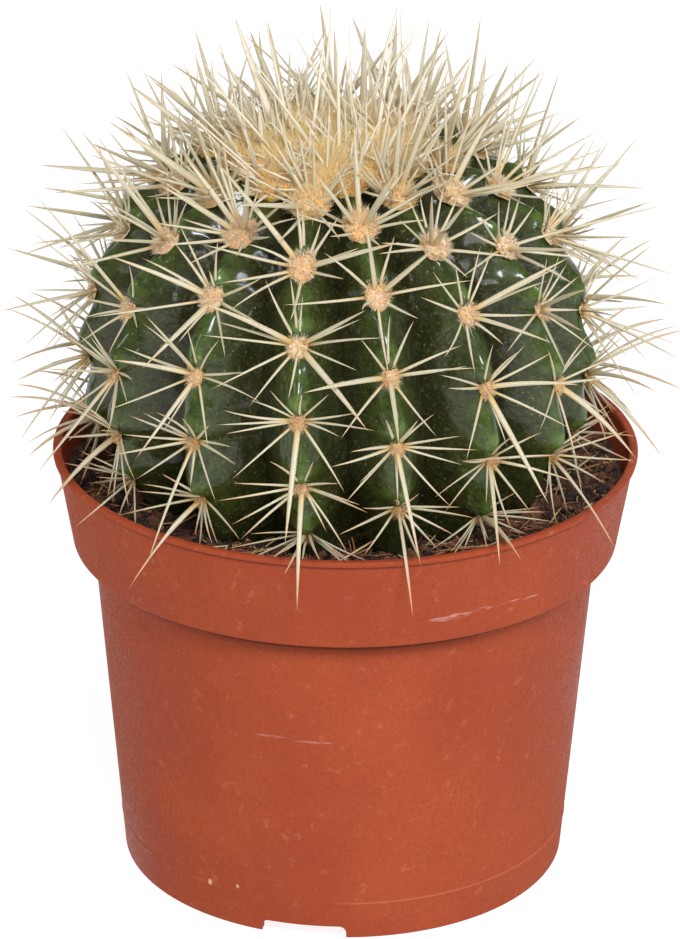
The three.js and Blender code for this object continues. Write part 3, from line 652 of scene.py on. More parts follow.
def seen_spines(areole, tips):
    spines = []
    for kind, pixels in zip((THICK, THIN), tips):
        for pixel in pixels:
            tip, _ = aimed_tip(areole, pixel, kind.length, kind.tilt)
            spines.append(Spine(areole, tip, usual_radius(areole, kind), kind))
    return spines


def young_spines(areole):
    """The short spines of an areole near the growing point, which cross each other."""
    spines = []
    nearness = smooth(areole.elevation, 70, 84)
    for _ in range(round(lerp(*YOUNG_COUNTS, nearness))):
        length = random.uniform(*YOUNG_LENGTHS) * lerp(1.15, 0.75, nearness)
        tip = areole.centre + areole.way(random.uniform(0, 360), random.uniform(*YOUNG_TILTS)) * length
        spines.append(Spine(areole, lifted(areole.centre, tip), random.uniform(*YOUNG_RADII), THIN))
    return spines


def star_spines(areole, taken):
    """The spines that the usual star has and that don't come near the angles taken already."""
    spines = []
    youth = smooth(areole.elevation, 44, 74)
    for kind, star in ((THICK, [] if taken else THICK_STAR), (THIN, THIN_STAR)):
        for angle, tilt in star:
            angle += random.normal(0, STAR_STRAY[0])
            tilt += random.normal(0, STAR_STRAY[1]) + STAR_RISE * youth
            apart = [abs((angle - other + 180) % 360 - 180) for other in taken]
            if apart and min(apart) < APART:
                continue
            length = kind.length * random.uniform(*STAR_LENGTHS)
            if kind is THICK:
                length *= lerp(1, 0.72, youth)
            elif abs(angle) < 60:
                length *= lerp(0.75, 1, youth)
            radius = usual_radius(areole, kind)
            tip = areole.centre + areole.way(angle, min(tilt, STEEPEST)) * length
            spines.append(Spine(areole, lifted(areole.centre, tip), radius, kind))
    return spines


def crown_spines():
    """The long spines round the crown whose tips the photograph shows, on the areoles that fit best."""
    bearers = [areole for areole in AREOLES if areole.elevation > CROWN_BEARERS]
    borne = [0] * len(bearers)
    spines = []
    for pixel in WIDE_CROWN_TIPS + CROWN_TIPS:
        tries = [aimed_tip(areole, pixel, CROWN_LENGTH, CROWN_TILT) for areole in bearers]
        best = int(np.argmin([cost + 0.7 * count for (_, cost), count in zip(tries, borne)]))
        borne[best] += 1
        radius = random.uniform(*(WIDE_CROWN_RADII if pixel in WIDE_CROWN_TIPS else CROWN_RADII))
        spines.append(Spine(bearers[best], tries[best][0], radius, THICK))
    return spines


def all_spines():
    spines = crown_spines()
    for areole in AREOLES:
        front = FRONT_AREOLES.get(areole.rib, [])
        key = (areole.rib, front.index(areole.elevation)) if areole.elevation in front else None
        seen = seen_spines(areole, SPINE_TIPS.get(key, ([], [])))
        taken = [angle_round(areole, spine.tip) for spine in seen]
        spines += seen + (young_spines(areole) if areole.is_young else star_spines(areole, taken))
    return spines


def spine_form(spines):
    """The form of all the given spines, thick and thin."""
    forms = []
    for kind in (THICK, THIN):
        chosen = [spine for spine in spines if spine.kind is kind]
        if not chosen:
            continue
        feet, tips, bends = (np.array([getattr(s, key) for s in chosen]) for key in ("foot", "tip", "bend"))
        straight = tips - feet - bends
        radii = np.array([spine.radius for spine in chosen])
        faced = np.array([spine.areole.out for spine in chosen])
        faced = faced + random.normal(0, SPINE_FACING, faced.shape)
        mesh = (kind.sides, kind.rings, kind.flatness, SPINE_TAPER)
        form = strands(feet, unit(straight), np.linalg.norm(straight, axis=1), radii, bends, *mesh, faced)
        youths = [spine.areole.youth for spine in chosen]
        form[2]["youth"] = np.repeat(youths, len(form[0]) // len(chosen))
        forms.append(form)
    return joined(forms)


# ---------------------------------------------------------------- materials


def srgb(red, green, blue):
    """A colour given as 8-bit screen values."""
    values = np.array([red, green, blue]) / 255
    linear = np.where(values <= 0.04045, values / 12.92, ((values + 0.055) / 1.055) ** 2.4)
    return (*linear, 1)


class Shader:
    """A material's nodes, placed by short calls. Values are sockets or numbers, and colours are
    sockets or 8-bit screen values. Its colour is built up in coats, of which each lies on the last."""

    def __init__(self, name, **constants):
        self.material = bpy.data.materials.new(name)
        self.material.use_nodes = True
        self.tree = self.material.node_tree
        self.surface = self.tree.nodes["Principled BSDF"]
        for key, value in constants.items():
            self.surface.inputs[key.replace("_", " ")].default_value = value
        self.place = self.tree.nodes.new("ShaderNodeTexCoord").outputs["Object"]

    def node(self, kind, settings=None, **inputs):
        node = self.tree.nodes.new("ShaderNode" + kind)
        for key, value in (settings or {}).items():
            setattr(node, key, value)
        for key, value in inputs.items():
            self.put(node.inputs[int(key[1:]) if key[1:].isdigit() else key.replace("_", " ")], value)
        return node

    def put(self, socket, value):
        if isinstance(value, bpy.types.NodeSocket):
            self.tree.links.new(value, socket)
        else:
            socket.default_value = value

    def math(self, operation, first, second=0.0):
        return self.node("Math", {"operation": operation}, i0=first, i1=second).outputs[0]

    def times(self, first, second):
        return self.math("MULTIPLY", first, second)

    def plus(self, first, second):
        return self.math("ADD", first, second)

    def vector(self, operation, first, second=(0, 0, 0), output=0):
        return self.node("VectorMath", {"operation": operation}, i0=first, i1=second).outputs[output]

    def noise(self, scale, detail=3.0, roughness=0.55, place=None):
        inputs = {"Vector": place or self.place, "Scale": scale, "Detail": detail, "Roughness": roughness}
        return self.node("TexNoise", **inputs).outputs["Fac"]

    def dots(self, scale, outer, inner):
        """1 on small round dots, inside their inner radius, and 0 outside their outer one."""
        cells = self.node("TexVoronoi", Vector=self.place, Scale=scale)
        return self.within(cells.outputs["Distance"], outer, inner)

    def attribute(self, name):
        return self.node("Attribute", {"attribute_name": name}).outputs["Fac"]

    def height(self):
        return self.node("SeparateXYZ", i0=self.place).outputs["Z"]

    def within(self, value, low, high):
        """0 below low, 1 above high, and smooth between; low may be the larger one."""
        inputs = {"Value": value, "From_Min": low, "From_Max": high}
        return self.node("MapRange", {"interpolation_type": "SMOOTHSTEP"}, **inputs).outputs["Result"]

    def near(self, centre, size):
        """1 at a point in millimetres, falling to 0 at the ellipsoid of the given half sizes."""
        away = self.vector("SUBTRACT", self.place, tuple(np.array(centre) * MM))
        scaled = self.vector("DIVIDE", away, tuple(np.array(size) * MM))
        return self.within(self.vector("LENGTH", scaled, output="Value"), 1.0, 0.35)

    def mix(self, share, first, second):
        first, second = [srgb(*side) if isinstance(side, tuple) else side for side in (first, second)]
        return self.node("Mix", {"data_type": "RGBA"}, i0=share, i6=first, i7=second).outputs[2]

    def base(self, share, first, second):
        self.colour = self.mix(share, first, second)

    def coat(self, colour, share, ends=None, strength=1):
        """Lays another colour over the colour so far, by a share that runs between two ends if they
        are given, times a strength."""
        share = self.within(share, *ends) if ends else share
        share = self.times(share, strength) if strength != 1 else share
        self.colour = self.mix(share, self.colour, colour)

    def relief(self, *layers, socket="Normal"):
        """Bumps of one or more layers of height, strength and distance in metres, each on the last."""
        inputs = {}
        for height, strength, distance in layers:
            bump = self.node("Bump", Height=height, Strength=strength, Distance=distance, **inputs)
            inputs = {"Normal": bump.outputs["Normal"]}
        self.put(self.surface.inputs[socket], inputs["Normal"])

    def finished(self, roughness=None):
        self.put(self.surface.inputs["Base Color"], self.colour)
        if roughness is not None:
            self.put(self.surface.inputs["Roughness"], roughness)
        return self.material


# Where the pot is rubbed paler: centre, half sizes and how strongly.
RUBBED_PLACES = [
    ((20.5, -58.2, 82.2), (3.2, 3, 0.9), 0.55), ((24.7, -56.7, 82.6), (3.6, 3, 0.9), 0.8),
    ((29.6, -54.4, 83), (3.8, 3.5, 0.6), 0.6), ((35.5, -50.7, 83), (4, 4, 0.4), 0.5),
    ((40, -47, 82.4), (3.2, 3.5, 0.4), 0.45), ((-16, -51.7, 50.9), (5, 4, 0.45), 0.3),
    ((-6, -53.6, 50.4), (6, 3, 0.4), 0.4),
]
PALE_SPECKS = [((-29.4, -41.2, 9.4), 0.75), ((-23.2, -45, 10.4), 0.5)]  # centre and half size
# Shaded bands under edges: their tops, where they end and are full below them, and how strongly.
SHADED_BANDS = [(76.4, 4.8, 2.3, 0.42), (76.4, 2.75, 2.3, 0.62), (97.2, 0.95, 0.45, 0.4)]
# Colours of spines at their base, along them, at their tip and in their bands.
SPINE_COLOURS = {
    "spines": ((212, 172, 92), (205, 194, 162), (206, 156, 104), (178, 152, 98)),
    # Paler in the crown: partly the spines' own colour, partly painted light against their shade on each
    # other.
    "crown_spines": ((231, 198, 134), (235, 223, 197), (218, 202, 182), (212, 192, 158)),
    "fallen_spines": ((184, 148, 80), (200, 176, 108), (166, 124, 78), (152, 116, 62)),
}


def pot_material():
    """Matt plastic with mottling, grain, smears, dust, rubbed places, and wear along the seam."""
    look = Shader("pot_plastic", IOR=1.48, Specular_IOR_Level=0.11)
    mottle = look.noise(28, 4)
    grain = look.noise(1400, 2)
    look.base(look.within(mottle, 0.35, 0.68), (157, 67, 39), (169, 77, 45))
    look.coat((138, 58, 36), grain, (0.38, 0.66), 0.3)
    look.coat((206, 128, 96), look.noise(330, 4, 0.7), (0.58, 0.74), 0.3)
    dust = look.times(look.dots(420, 0.09, 0.03), look.within(mottle, 0.5, 0.62))
    look.coat((225, 180, 150), dust, strength=0.25)
    stretched = look.vector("MULTIPLY", look.place, (230, 230, 2400))
    streaks = look.within(look.noise(1.0, 3, 0.65, stretched), 0.42, 0.6)
    for centre, half_sizes, strength in RUBBED_PLACES:
        rubbed = look.times(streaks, look.near(centre, half_sizes))
        look.coat((216, 166, 158), rubbed, strength=strength)
    for centre, size in PALE_SPECKS:
        look.coat((214, 166, 126), look.near(centre, (size, size, size * 1.4)))
    height = look.height()
    from_seam = look.math("ABSOLUTE", look.math("SUBTRACT", height, (SEAM_Z + 0.2) * MM))
    worn = look.times(look.within(from_seam, 0.3 * MM, 0.1 * MM), look.within(mottle, 0.42, 0.56))
    look.coat((210, 128, 96), worn, strength=0.25)
    # Painted shade: darker bands of colour under the collar's ledge and under the lip, where shade falls.
    for top, end, full, strength in SHADED_BANDS:
        below = look.within(height, (top - end) * MM, (top - full) * MM)
        shade = look.times(below, look.math("LESS_THAN", height, (top + 0.05) * MM))
        look.coat((66, 27, 17), shade, strength=strength)
    look.relief((grain, 0.12, 0.00006), (mottle, 0.1, 0.0004))
    return look.finished(look.within(look.plus(grain, mottle), 0.0, 1.7))


def soil_material():
    look = Shader("potting_soil", Roughness=0.9)
    clumps = look.noise(240, 5)
    crumbs = look.noise(1500, 4, 0.7)
    look.base(look.within(clumps, 0.35, 0.65), (30, 19, 14), (76, 48, 33))
    look.coat((128, 86, 60), crumbs, (0.56, 0.72))
    look.relief((clumps, 0.6, 0.001), (crumbs, 0.8, 0.0006))
    return look.finished()


def crumb_material():
    look = Shader("soil_crumbs", Roughness=0.85)
    grit = look.noise(1800, 3)
    look.base(look.within(look.attribute("tint"), 0.2, 0.95), (27, 17, 13), (108, 64, 41))
    look.coat((146, 104, 74), grit, (0.5, 0.8))
    look.relief((grit, 0.6, 0.0003))
    return look.finished()


def fibre_material():
    look = Shader("peat_fibres", Roughness=0.7)
    look.base(look.attribute("tint"), (112, 62, 38), (196, 142, 94))
    look.relief((look.noise(2600, 2), 0.4, 0.0001))
    return look.finished()


def skin_material():
    """Waxy skin with mottling, specks and dust. It is brownish in the grooves and greener on the crests,
    partly as painted shade in the grooves, lighter on the noses as painted light, and darker low
    down, partly as painted shade of the rim and partly as older skin.
    """
    look = Shader("cactus_skin", IOR=1.5, Specular_IOR_Level=0.12, Coat_Weight=0.7, Coat_Roughness=0.11)
    crest = look.attribute("crest")
    patches = look.noise(70, 4)
    pores = look.noise(2200, 3)
    swells = look.noise(125, 0.7)
    # Darker and brownish in the grooves, greener towards the crests: partly the skin's colour, partly
    # painted shade in the grooves.
    look.base(look.within(crest, 0.2, 0.75), (45, 45, 18), (60, 69, 23))
    look.coat((66, 87, 29), crest, (0.66, 0.97))
    # Lighter green on the noses that swell above the areoles: painted light where they face up to the
    # lamps.
    look.coat((108, 136, 56), look.attribute("nose"), (0.55, 0.98), 0.6)
    look.coat((40, 46, 21), patches, (0.42, 0.7), 0.5)
    # Darker towards the bottom: painted shade from the pot's rim, and older, browner skin.
    look.coat((28, 31, 14), look.height(), (106 * MM, 91 * MM), 0.75)
    look.coat((24, 24, 10), look.noise(420, 5, 0.7), (0.47, 0.6), 0.5)
    look.coat((112, 122, 78), look.noise(1250, 5, 0.8), (0.53, 0.64), 0.45)
    dust = look.times(look.dots(620, 0.16, 0.05), look.within(look.noise(160, 2), 0.48, 0.62))
    look.coat((186, 190, 168), dust, strength=0.5)
    look.relief((pores, 0.3, 0.00008), (swells, 0.8, 0.0017))
    look.relief((swells, 0.9, 0.0019), socket="Coat Normal")
    return look.finished(look.within(look.plus(patches, pores), -0.1, 2.6))


def spine_material(name):
    """Horny spines: paler beyond their base, browner at the tip, most so low on the plant, and banded."""
    base, light, tip, band = SPINE_COLOURS[name]
    inner = {"Subsurface_Weight": 0.25, "Subsurface_Radius": (1, 0.75, 0.4), "Subsurface_Scale": 0.8 * MM}
    look = Shader(name, Roughness=0.45, IOR=1.5, **inner)
    along = look.attribute("along")
    tint = look.attribute("tint")
    bands = look.noise(2300, 2)
    is_old = look.within(look.attribute("youth"), 0.16, -0.16)
    look.base(look.within(along, 0.02, 0.3), base, light)
    look.coat((226, 215, 187), tint, strength=0.35)
    look.coat(tip, look.times(look.within(along, 0.64, 1.05), look.within(tint, -0.6, 1.3)))
    aged = look.times(look.within(along, 0.45, 0.95), is_old)
    look.coat((208, 146, 100), aged, strength=0.75)
    look.coat(band, bands, (0.5, 0.75), 0.3)
    look.relief((bands, 0.35, 0.00012))
    return look.finished()


def wool_material():
    """Felted hairs, darker at their roots: brown low down, then tan, and golden at the crown."""
    look = Shader("wool", Roughness=0.95, Specular_IOR_Level=0.1)
    youth = look.attribute("youth")
    is_tan = look.within(youth, -0.15, 0.45)
    is_golden = look.within(youth, 0.52, 0.86)
    root = look.mix(is_golden, look.mix(is_tan, (208, 150, 86), (230, 180, 118)), (248, 182, 48))
    tip = look.mix(is_golden, look.mix(is_tan, (236, 200, 140), (250, 232, 198)), (255, 228, 164))
    strand = look.plus(look.attribute("along"), look.times(look.attribute("tint"), 0.5))
    look.base(look.within(look.plus(strand, look.noise(900, 3)), 0.35, 1.5), root, tip)
    specks = look.mix(is_golden, (206, 138, 94), (238, 168, 66))
    look.coat(specks, look.noise(1100, 2), (0.58, 0.7), 0.4)
    wisps = look.mix(is_golden, (252, 238, 222), (255, 236, 186))
    look.coat(wisps, look.noise(620, 3), (0.5, 0.66), 0.45)
    look.relief((look.noise(1500, 3, 0.6), 0.5, 0.0002), (look.noise(4000, 2), 0.4, 0.0001))
    return look.finished()


# ---------------------------------------------------------------- pot


def rounded(corners, size=0.35):
    """A profile whose corners are each replaced by a short curve."""
    corners = np.array(corners, float)
    points = [corners[0]]
    for before, corner, after in zip(corners, corners[1:], corners[2:]):
        start = corner + unit(before - corner) * min(size, np.linalg.norm(before - corner) * 0.45)
        end = corner + unit(after - corner) * min(size, np.linalg.norm(after - corner) * 0.45)
        for share in (0, 0.25, 0.5, 0.75, 1):
            points.append(lerp(lerp(start, corner, share), lerp(corner, end, share), share))
    return np.array([*points, corners[-1]])


def turned(profile, sides):
    """A profile of (radius, z), which starts and ends on the axis, turned into points and faces."""
    inner = profile[1:-1]
    ring = np.stack([np.cos(around(sides)), np.sin(around(sides))], axis=-1)
    heights = np.broadcast_to(inner[:, None, 1:], (len(inner), sides, 1))
    points = np.concatenate([inner[:, None, :1] * ring, heights], axis=2).reshape(-1, 3)
    points = np.concatenate([[[0, 0, profile[0, 1]]], points, [[0, 0, profile[-1, 1]]]])
    return points, spindle_faces(len(inner), sides)


def plain_mesh(name, points, faces):
    mesh = bpy.data.meshes.new(name)
    corners = [face.tolist() for block in faces for face in block]
    mesh.from_pydata((np.asarray(points) * MM).tolist(), [], corners)
    return mesh


def notch_cutter(turn):
    half, height = NOTCH_SIZE[0] / 2, NOTCH_SIZE[1]
    arc = [(math.cos(a), math.sin(a)) for a in np.linspace(0, math.pi / 2, 6)]
    shoulder = [(half - NOTCH_ROUNDING * (1 - c), height - NOTCH_ROUNDING * (1 - s)) for c, s in arc]
    outline = [(half, -2), *shoulder, *[(-x, z) for x, z in shoulder[::-1]], (-half, -2)]
    near = [(x, -FOOT_INNER_RADIUS + 6, z) for x, z in outline]
    far = [(x, -FOOT_OUTER_RADIUS - 6, z) for x, z in outline]
    count = len(outline)
    sides = [[i, (i + 1) % count, count + (i + 1) % count, count + i] for i in range(count)]
    cos, sin = math.cos(turn), math.sin(turn)
    points = [(x * cos - y * sin, x * sin + y * cos, z) for x, y, z in near + far]
    ends = np.array([list(range(count))[::-1], list(range(count, 2 * count))])
    return plain_mesh("notch", points, [np.array(sides), ends])


def drain_cutter(turn):
    hole = bmesh.new()
    middle = Matrix.Translation((DRAIN_RING_RADIUS * MM, 0, sum(FLOOR_Z) / 2 * MM))
    size = {"radius1": DRAIN_RADIUS * MM, "radius2": DRAIN_RADIUS * MM, "depth": 8 * MM}
    place = Matrix.Rotation(turn, 4, "Z") @ middle
    bmesh.ops.create_cone(hole, cap_ends=True, segments=40, matrix=place, **size)
    mesh = bpy.data.meshes.new("drain")
    hole.to_mesh(mesh)
    hole.free()
    return mesh


def cut(mesh, cutters):
    """A mesh with others taken away from it."""
    piece = added("cut", mesh)
    helpers = []
    for cutter in cutters:
        helpers.append(added("cutter", cutter))
        modifier = piece.modifiers.new("cut", "BOOLEAN")
        modifier.operation = "DIFFERENCE"
        modifier.object = helpers[-1]
    bpy.context.view_layer.update()
    evaluated = piece.evaluated_get(bpy.context.evaluated_depsgraph_get())
    result = bpy.data.meshes.new_from_object(evaluated)
    for helper in [piece, *helpers]:
        bpy.data.objects.remove(helper)
    return result


def make_pot():
    seam = body_radius(SEAM_Z)
    collar, top = COLLAR_Z
    outside = [
        (0, FLOOR_Z[0]), (FOOT_INNER_RADIUS, FLOOR_Z[0]), (FOOT_INNER_RADIUS, 0), (FOOT_OUTER_RADIUS, 0),
        (body_radius(FOOT_BEVEL), FOOT_BEVEL), *[(seam + out, SEAM_Z + up) for out, up in SEAM_STEPS],
        (body_radius(collar), collar), (COLLAR_RADII[0] - BEVEL, collar),
        (COLLAR_RADII[0], collar + BEVEL), (COLLAR_RADII[1], top), (LIP_RADIUS, top),
        (LIP_RADIUS, RIM_Z - LIP_BEVEL), (LIP_RADIUS - BEVEL, RIM_Z),
    ]
    inside = [
        (RIM_INNER_RADIUS + BEVEL, RIM_Z), (RIM_INNER_RADIUS, RIM_Z - BEVEL),
        (collar_radius(LEDGE_Z) - WALL, LEDGE_Z), (body_radius(LEDGE_Z) - WALL, LEDGE_Z),
        (body_radius(FLOOR_Z[1]) - WALL, FLOOR_Z[1]), (0, FLOOR_Z[1]),
    ]
    cutters = [notch_cutter(math.radians(NOTCH_LONGITUDE) + turn) for turn in around(NOTCH_COUNT)]
    cutters += [drain_cutter(turn) for turn in around(DRAIN_COUNT)]
    mesh = cut(plain_mesh("pot_wall", *turned(rounded(outside + inside), POT_SIDES)), cutters)
    mesh.name = "pot_wall"
    mesh.shade_smooth()
    mesh.set_sharp_from_angle(angle=math.radians(35))
    add_piece("pot_wall", mesh, pot_material(), "pot")


# ---------------------------------------------------------------- soil

BED_HOLE = (36, 40)  # radii of the sunken edge under the plant
BED_RINGS = 44
BED_DEPTHS = ((0, 7.5), (-2, 3.5), (-1, 12))  # how far down the bed's hidden edge rings are
CRUMB_COUNT = 2600
FIBRE_COUNT = 900
FALLEN_COUNT = 130


def make_soil():
    edge = soil_edge(SOIL_Z) - SOIL_GAP
    radii = np.concatenate([BED_HOLE[:1], np.linspace(BED_HOLE[1], edge, BED_RINGS), [edge, edge - 4]])
    x = radii[:, None] * np.cos(around(SOIL_SIDES))
    y = radii[:, None] * np.sin(around(SOIL_SIDES))
    height = soil_height(x, y) + 0.55 * uneven(x, y)
    for ring, depth in BED_DEPTHS:
        height[ring] = SOIL_Z - depth
    points = np.stack([x, y, height], axis=-1).reshape(-1, 3)
    inner = np.arange(SOIL_SIDES)
    outer = (len(radii) - 1) * SOIL_SIDES + inner
    floor = np.stack([inner, np.roll(inner, -1), np.roll(outer, -1), outer], axis=-1)
    form = points, [ring_faces(len(radii), SOIL_SIDES), floor], {}
    add_mesh("soil_bed", form, soil_material(), "soil")


def soil_spots(count, inner, outer):
    """Random points on the soil between two radii."""
    radius = np.sqrt(random.uniform(inner**2, outer**2, count))
    angle = random.uniform(0, 2 * math.pi, count)
    x, y = radius * np.cos(angle), radius * np.sin(angle)
    return np.stack([x, y, soil_height(x, y) + 0.4 * uneven(x, y)], axis=-1)


def make_crumbs():
    """Lumps of peat and bits of bark that lie on the soil."""
    lump = bmesh.new()
    bmesh.ops.create_icosphere(lump, subdivisions=1, radius=1)
    ball = np.array([vertex.co for vertex in lump.verts])
    faces = np.array([[vertex.index for vertex in face.verts] for face in lump.faces])
    lump.free()
    count = CRUMB_COUNT
    spots = soil_spots(count, LITTER_START, soil_edge(SOIL_Z) - 2.4)
    sizes = 0.35 + 1.5 * random.uniform(0, 1, count) ** 4
    lumps = ball * (1 + random.normal(0, 0.16, (count, len(ball), 1)))
    lumps *= random.uniform(0.55, 1.5, (count, 1, 3)) * sizes[:, None, None]
    turn, _ = np.linalg.qr(random.normal(size=(count, 3, 3)))
    spots[:, 2] += sizes * 0.25
    points = np.einsum("nij,nkj->nki", turn, lumps) + spots[:, None]
    points[..., 2] = np.minimum(points[..., 2], RIM_Z - 1)
    blocks = (np.arange(count) * len(ball))[:, None, None] + faces
    tints = {"tint": np.repeat(random.uniform(0, 1, count), len(ball))}
    form = points.reshape(-1, 3), [blocks.reshape(-1, 3)], tints
    add_mesh("soil_crumbs", form, crumb_material(), "soil", is_smooth=False)


def lying(count, inner, lengths, radii, curl):
    """Strands that lie about on the soil, from an inner radius to near the wall."""
    outer = soil_edge(SOIL_Z) - 2
    spots = soil_spots(count, inner, outer)
    angle = random.uniform(0, 2 * math.pi, count)
    ways = unit(np.stack([np.cos(angle), np.sin(angle), random.normal(0, 0.14, count)], axis=-1))
    size = random.uniform(*lengths, count)
    ends = spots + ways * size[:, None]
    ways[np.hypot(ends[:, 0], ends[:, 1]) > outer] *= [-1, -1, 1]
    bends = random.normal(0, 1, (count, 3)) * [1, 1, 0.25] * (size * curl)[:, None]
    radius = random.uniform(*radii, count)
    return strands(spots + [0, 0, 0.5], ways, size, radius, bends, 4, 5, taper=(6, 0.5))


def make_litter():
    """Peat fibres and fallen spines on the soil."""
    fibres = lying(FIBRE_COUNT, LITTER_START, (2.5, 11), (0.07, 0.26), 0.16)
    add_mesh("peat_fibres", fibres, fibre_material(), "soil")
    fallen = lying(FALLEN_COUNT, FALLEN_START, (7, 18), (0.13, 0.33), 0.07)
    add_mesh("fallen_spines", fallen, spine_material("fallen_spines"), "soil")


# ---------------------------------------------------------------- plant: its pieces

RIB_COLUMNS = 24
SKIN_ROWS = np.concatenate([np.linspace(-89.5, -42, 14), np.linspace(-40, 89.6, 190)])
HAIR_RADIUS = 0.065
CROWN_EDGE = 67  # elevation that the golden felt reaches down to, on the ribs
CROWN_LOBES = 5.5  # how much higher its edge is in the grooves between them
CROWN_WOOL = 4.6  # how much the felt rises from its edge inwards
CROWN_SUNK = 3.6  # how far its edge lies inside the globe
FELT_ROWS, FELT_SIDES = 40, 240
CROWN_HAIRS = 11000  # of which those below the felt's edge are left out


def make_skin():
    """The ribbed globe as one closed surface, from groove to groove of every rib."""
    longitudes, offsets, ribs = [], [], []
    for rib, (before, crest, after) in enumerate(zip(CRESTS, CRESTS[1:], CRESTS[2:])):
        left, right = (before + crest) / 2, (crest + after) / 2
        for share in np.arange(RIB_COLUMNS) / RIB_COLUMNS * 2 - 1:
            longitudes.append(crest + share * ((right - crest) if share > 0 else (crest - left)))
            offsets.append(share)
            ribs.append(rib)
    rows, columns = len(SKIN_ROWS), len(ribs)
    radii = np.stack([skin_radius(rib, off, SKIN_ROWS) for rib, off in zip(ribs, offsets)], axis=1)
    noses = np.stack([nose_height(rib, SKIN_ROWS) for rib in ribs], axis=1)
    ways = plant_way(np.array(longitudes)[None, :], SKIN_ROWS[:, None])
    points = (PLANT_CENTRE + ways * radii[..., None]).reshape(-1, 3)
    crests = np.broadcast_to(1 - np.abs(offsets), radii.shape)
    attributes = {"crest": crests.ravel(), "nose": (noses * crests).ravel()}
    form = points, capped_faces(rows, columns), attributes
    skin = add_mesh("skin", form, skin_material(), "cactus")
    skin.data.set_sharp_from_angle(angle=math.radians(50))


def tuft_form(areole):
    """Hairs all over an areole's pad."""
    hairs = int(120 + 90 * areole.half_width**1.6)
    length = 0.7 + 0.16 * areole.half_width + 0.5 * smooth(areole.elevation, 50, 66)
    angle = random.uniform(0, 2 * math.pi, hairs)
    share = np.sqrt(random.uniform(0, 1, hairs))
    across, along = share * np.cos(angle) * areole.half_width, share * np.sin(angle) * areole.half_height
    roots = areole.spots(across, along, 0.85 * areole.height * np.sqrt(1 - share**2))
    lean = across[:, None] * areole.right + along[:, None] * areole.up
    ways = unit(areole.out + lean * (0.75 / areole.half_width) + random.normal(0, 0.35, (hairs, 3)))
    bends = random.normal(0, 0.35 * length, (hairs, 3))
    lengths = random.uniform(0.55, 1.15, hairs) * length
    form = strands(roots, ways, lengths, random.uniform(0.7, 1.3, hairs) * HAIR_RADIUS, bends)
    form[2]["youth"] = np.full(len(form[0]), areole.youth)
    return form


def pad_form(areole):
    """The felt under an areole's hairs, as a low dome that is sunk into the skin."""
    rows, sides = 7, 18
    tilt = np.linspace(-0.3, math.pi / 2 - 0.02, rows)[:, None]
    angle = around(sides)
    lumps = 1 + random.normal(0, 0.05, (rows, sides))
    across = np.cos(tilt) * np.cos(angle) * areole.half_width * lumps
    along = np.cos(tilt) * np.sin(angle) * areole.half_height * lumps
    points = areole.spots(across, along, np.sin(tilt) * areole.height * lumps).reshape(-1, 3)
    faces, _, top = capped_faces(rows, sides)
    tint = np.full(len(points), random.uniform(0, 1))
    return points, [faces, top], {"tint": tint, "youth": np.full(len(points), areole.youth)}


def make_areoles(wool):
    """Every rib's pads, hairs and spines, as one piece of each kind for each rib."""
    spines = all_spines()
    old, young = spine_material("spines"), spine_material("crown_spines")
    for rib in range(len(RIB_LONGITUDES)):
        for name, node, is_young in (("areole", "cactus", False), ("crown", "crown", True)):
            woolly = [areole for areole in AREOLES if areole.rib == rib and areole.is_young == is_young]
            for kind, make_form in (("pads", pad_form), ("hairs", tuft_form)):
                form = joined([make_form(areole) for areole in woolly])
                add_mesh(f"{name}_{kind}_{rib:02}", form, wool, node)
        own = [spine for spine in spines if spine.areole.rib == rib]
        for name, node, look in (("spines", "cactus", old), ("crown_spines", "crown", young)):
            form = spine_form([spine for spine in own if spine.areole.is_young == (look is young)])
            add_mesh(f"{name}_{rib:02}", form, look, node)


def felt_edge(longitude):
    """The elevation of the felt's lower edge, which is scalloped: low on the ribs, high between them."""
    turned_on = (longitude - CRESTS[0]) % 360 + CRESTS[0]
    place = np.interp(turned_on, CRESTS, np.arange(len(CRESTS)))
    off_crest = 1 - 2 * np.abs(place % 1 - 0.5)
    return CROWN_EDGE + CROWN_LOBES * smooth(off_crest, 0.3, 0.9)


def make_felt(wool):
    """The felt over the growing point."""
    elevation = np.linspace(CROWN_EDGE, 89.9, FELT_ROWS)[:, None]
    longitude = np.arange(FELT_SIDES)[None, :] * 360 / FELT_SIDES
    edge = felt_edge(longitude)
    lumps = 0.5 * np.sin(np.radians(longitude) * 15 + elevation * 0.9) * np.sin(elevation * 0.8)
    rise = (CROWN_WOOL + 0.6 * lumps) * smooth(elevation, edge, edge + 8)
    radius = globe_radius(elevation) - CROWN_SUNK + rise
    points = (PLANT_CENTRE + plant_way(longitude, elevation) * radius[..., None]).reshape(-1, 3)
    attributes = {"tint": np.full(len(points), 0.4), "youth": np.repeat(elevation[:, 0] / 90, FELT_SIDES)}
    form = points, capped_faces(FELT_ROWS, FELT_SIDES), attributes
    add_mesh("crown_felt", form, wool, "crown")


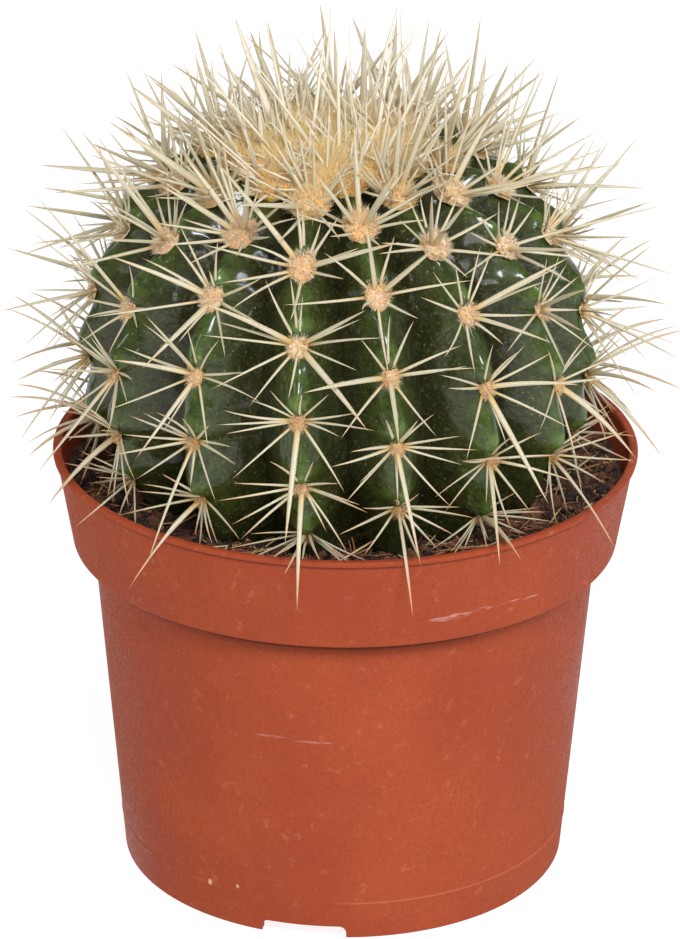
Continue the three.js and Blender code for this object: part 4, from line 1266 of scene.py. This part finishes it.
def make_crown_hairs(wool):
    """The long hairs on the felt."""
    off_axis = np.sqrt(random.uniform(0, 1, CROWN_HAIRS)) * math.cos(math.radians(CROWN_EDGE + 2))
    elevation = np.degrees(np.arccos(off_axis))
    longitude = random.uniform(0, 360, CROWN_HAIRS)
    edge = felt_edge(longitude)
    is_on = elevation > edge + 3
    elevation, longitude, edge = elevation[is_on], longitude[is_on], edge[is_on]
    count = len(elevation)
    ways = plant_way(longitude, elevation)
    radius = globe_radius(elevation) - CROWN_SUNK - 0.2 + CROWN_WOOL * smooth(elevation, edge, edge + 8)
    roots = PLANT_CENTRE + ways * radius[:, None]
    lean = unit(ways + random.normal(0, 0.45, (count, 3)))
    bends = random.normal(0, 0.7, (count, 3))
    form = strands(roots, lean, random.uniform(1.4, 3.6, count), random.uniform(0.06, 0.12, count), bends)
    form[2]["youth"] = np.repeat(elevation / 90, len(form[0]) // count)
    add_mesh("crown_hairs", form, wool, "crown")


# ---------------------------------------------------------------- stage

LIGHT_TARGET = np.array([0, 0, 0.1])  # in metres, as the places and sizes of the lights are
# Each light's name, place, size, power and colour.
LIGHTS = [
    ("softbox_front", (0.18, -0.9, 0.98), (0.32, 0.32), 10.6, (0.97, 1, 1.06)),
    ("softbox_right", (0.95, -0.75, 0.6), (0.28, 0.34), 4, (0.88, 0.96, 1.14)),
    ("softbox_low", (-0.1, -1.15, 0.42), (0.25, 0.25), 0.9, (1, 1, 1)),
    ("softbox_top", (-0.3, -0.2, 1.3), (0.25, 0.25), 1.7, (1, 1, 1)),
    ("softbox_back", (0.35, 1, 0.85), (0.6, 0.4), 3.4, (1, 1, 1)),
    ("softbox_left", (-1, -0.55, 0.8), (0.14, 0.3), 1, (0.94, 1, 1.1)),
]
WORLD_STRENGTH = 0.22
FLOOR_GLOW = 0.885  # makes the table as white as in the photograph
FLOOR_HALF_SIZE = 12


def add_floor():
    half = FLOOR_HALF_SIZE
    mesh = bpy.data.meshes.new("floor")
    corners = [(-half, -half, 0), (half, -half, 0), (half, half, 0), (-half, half, 0)]
    mesh.from_pydata(corners, [], [(0, 1, 2, 3)])
    look = Shader("floor", Roughness=0.9, Emission_Color=(1, 1, 1, 1), Emission_Strength=FLOOR_GLOW)
    look.base(look.noise(60, 3), (128, 128, 128), (132, 132, 132))
    mesh.materials.append(look.finished())
    added("floor", mesh)


def add_lights():
    world = bpy.data.worlds.new("studio")
    world.use_nodes = True
    background = world.node_tree.nodes["Background"]
    background.inputs["Color"].default_value = (1, 1, 1, 1)
    background.inputs["Strength"].default_value = WORLD_STRENGTH
    bpy.context.scene.world = world
    for name, place, size, power, colour in LIGHTS:
        data = bpy.data.lights.new(name, "AREA")
        data.shape = "RECTANGLE"
        data.size, data.size_y = size
        data.energy = power
        data.color = colour
        back = unit(np.array(place) - LIGHT_TARGET)
        side = unit(np.cross([0, 0, 1], back))
        placed(data, side, np.cross(back, side), back, place)
    bpy.context.scene.view_settings.view_transform = "Standard"
    bpy.context.scene.view_settings.look = "None"


add_camera()
add_lights()
add_floor()
wool = wool_material()
make_pot()
make_soil()
make_crumbs()
make_litter()
make_skin()
make_areoles(wool)
make_felt(wool)
make_crown_hairs(wool)
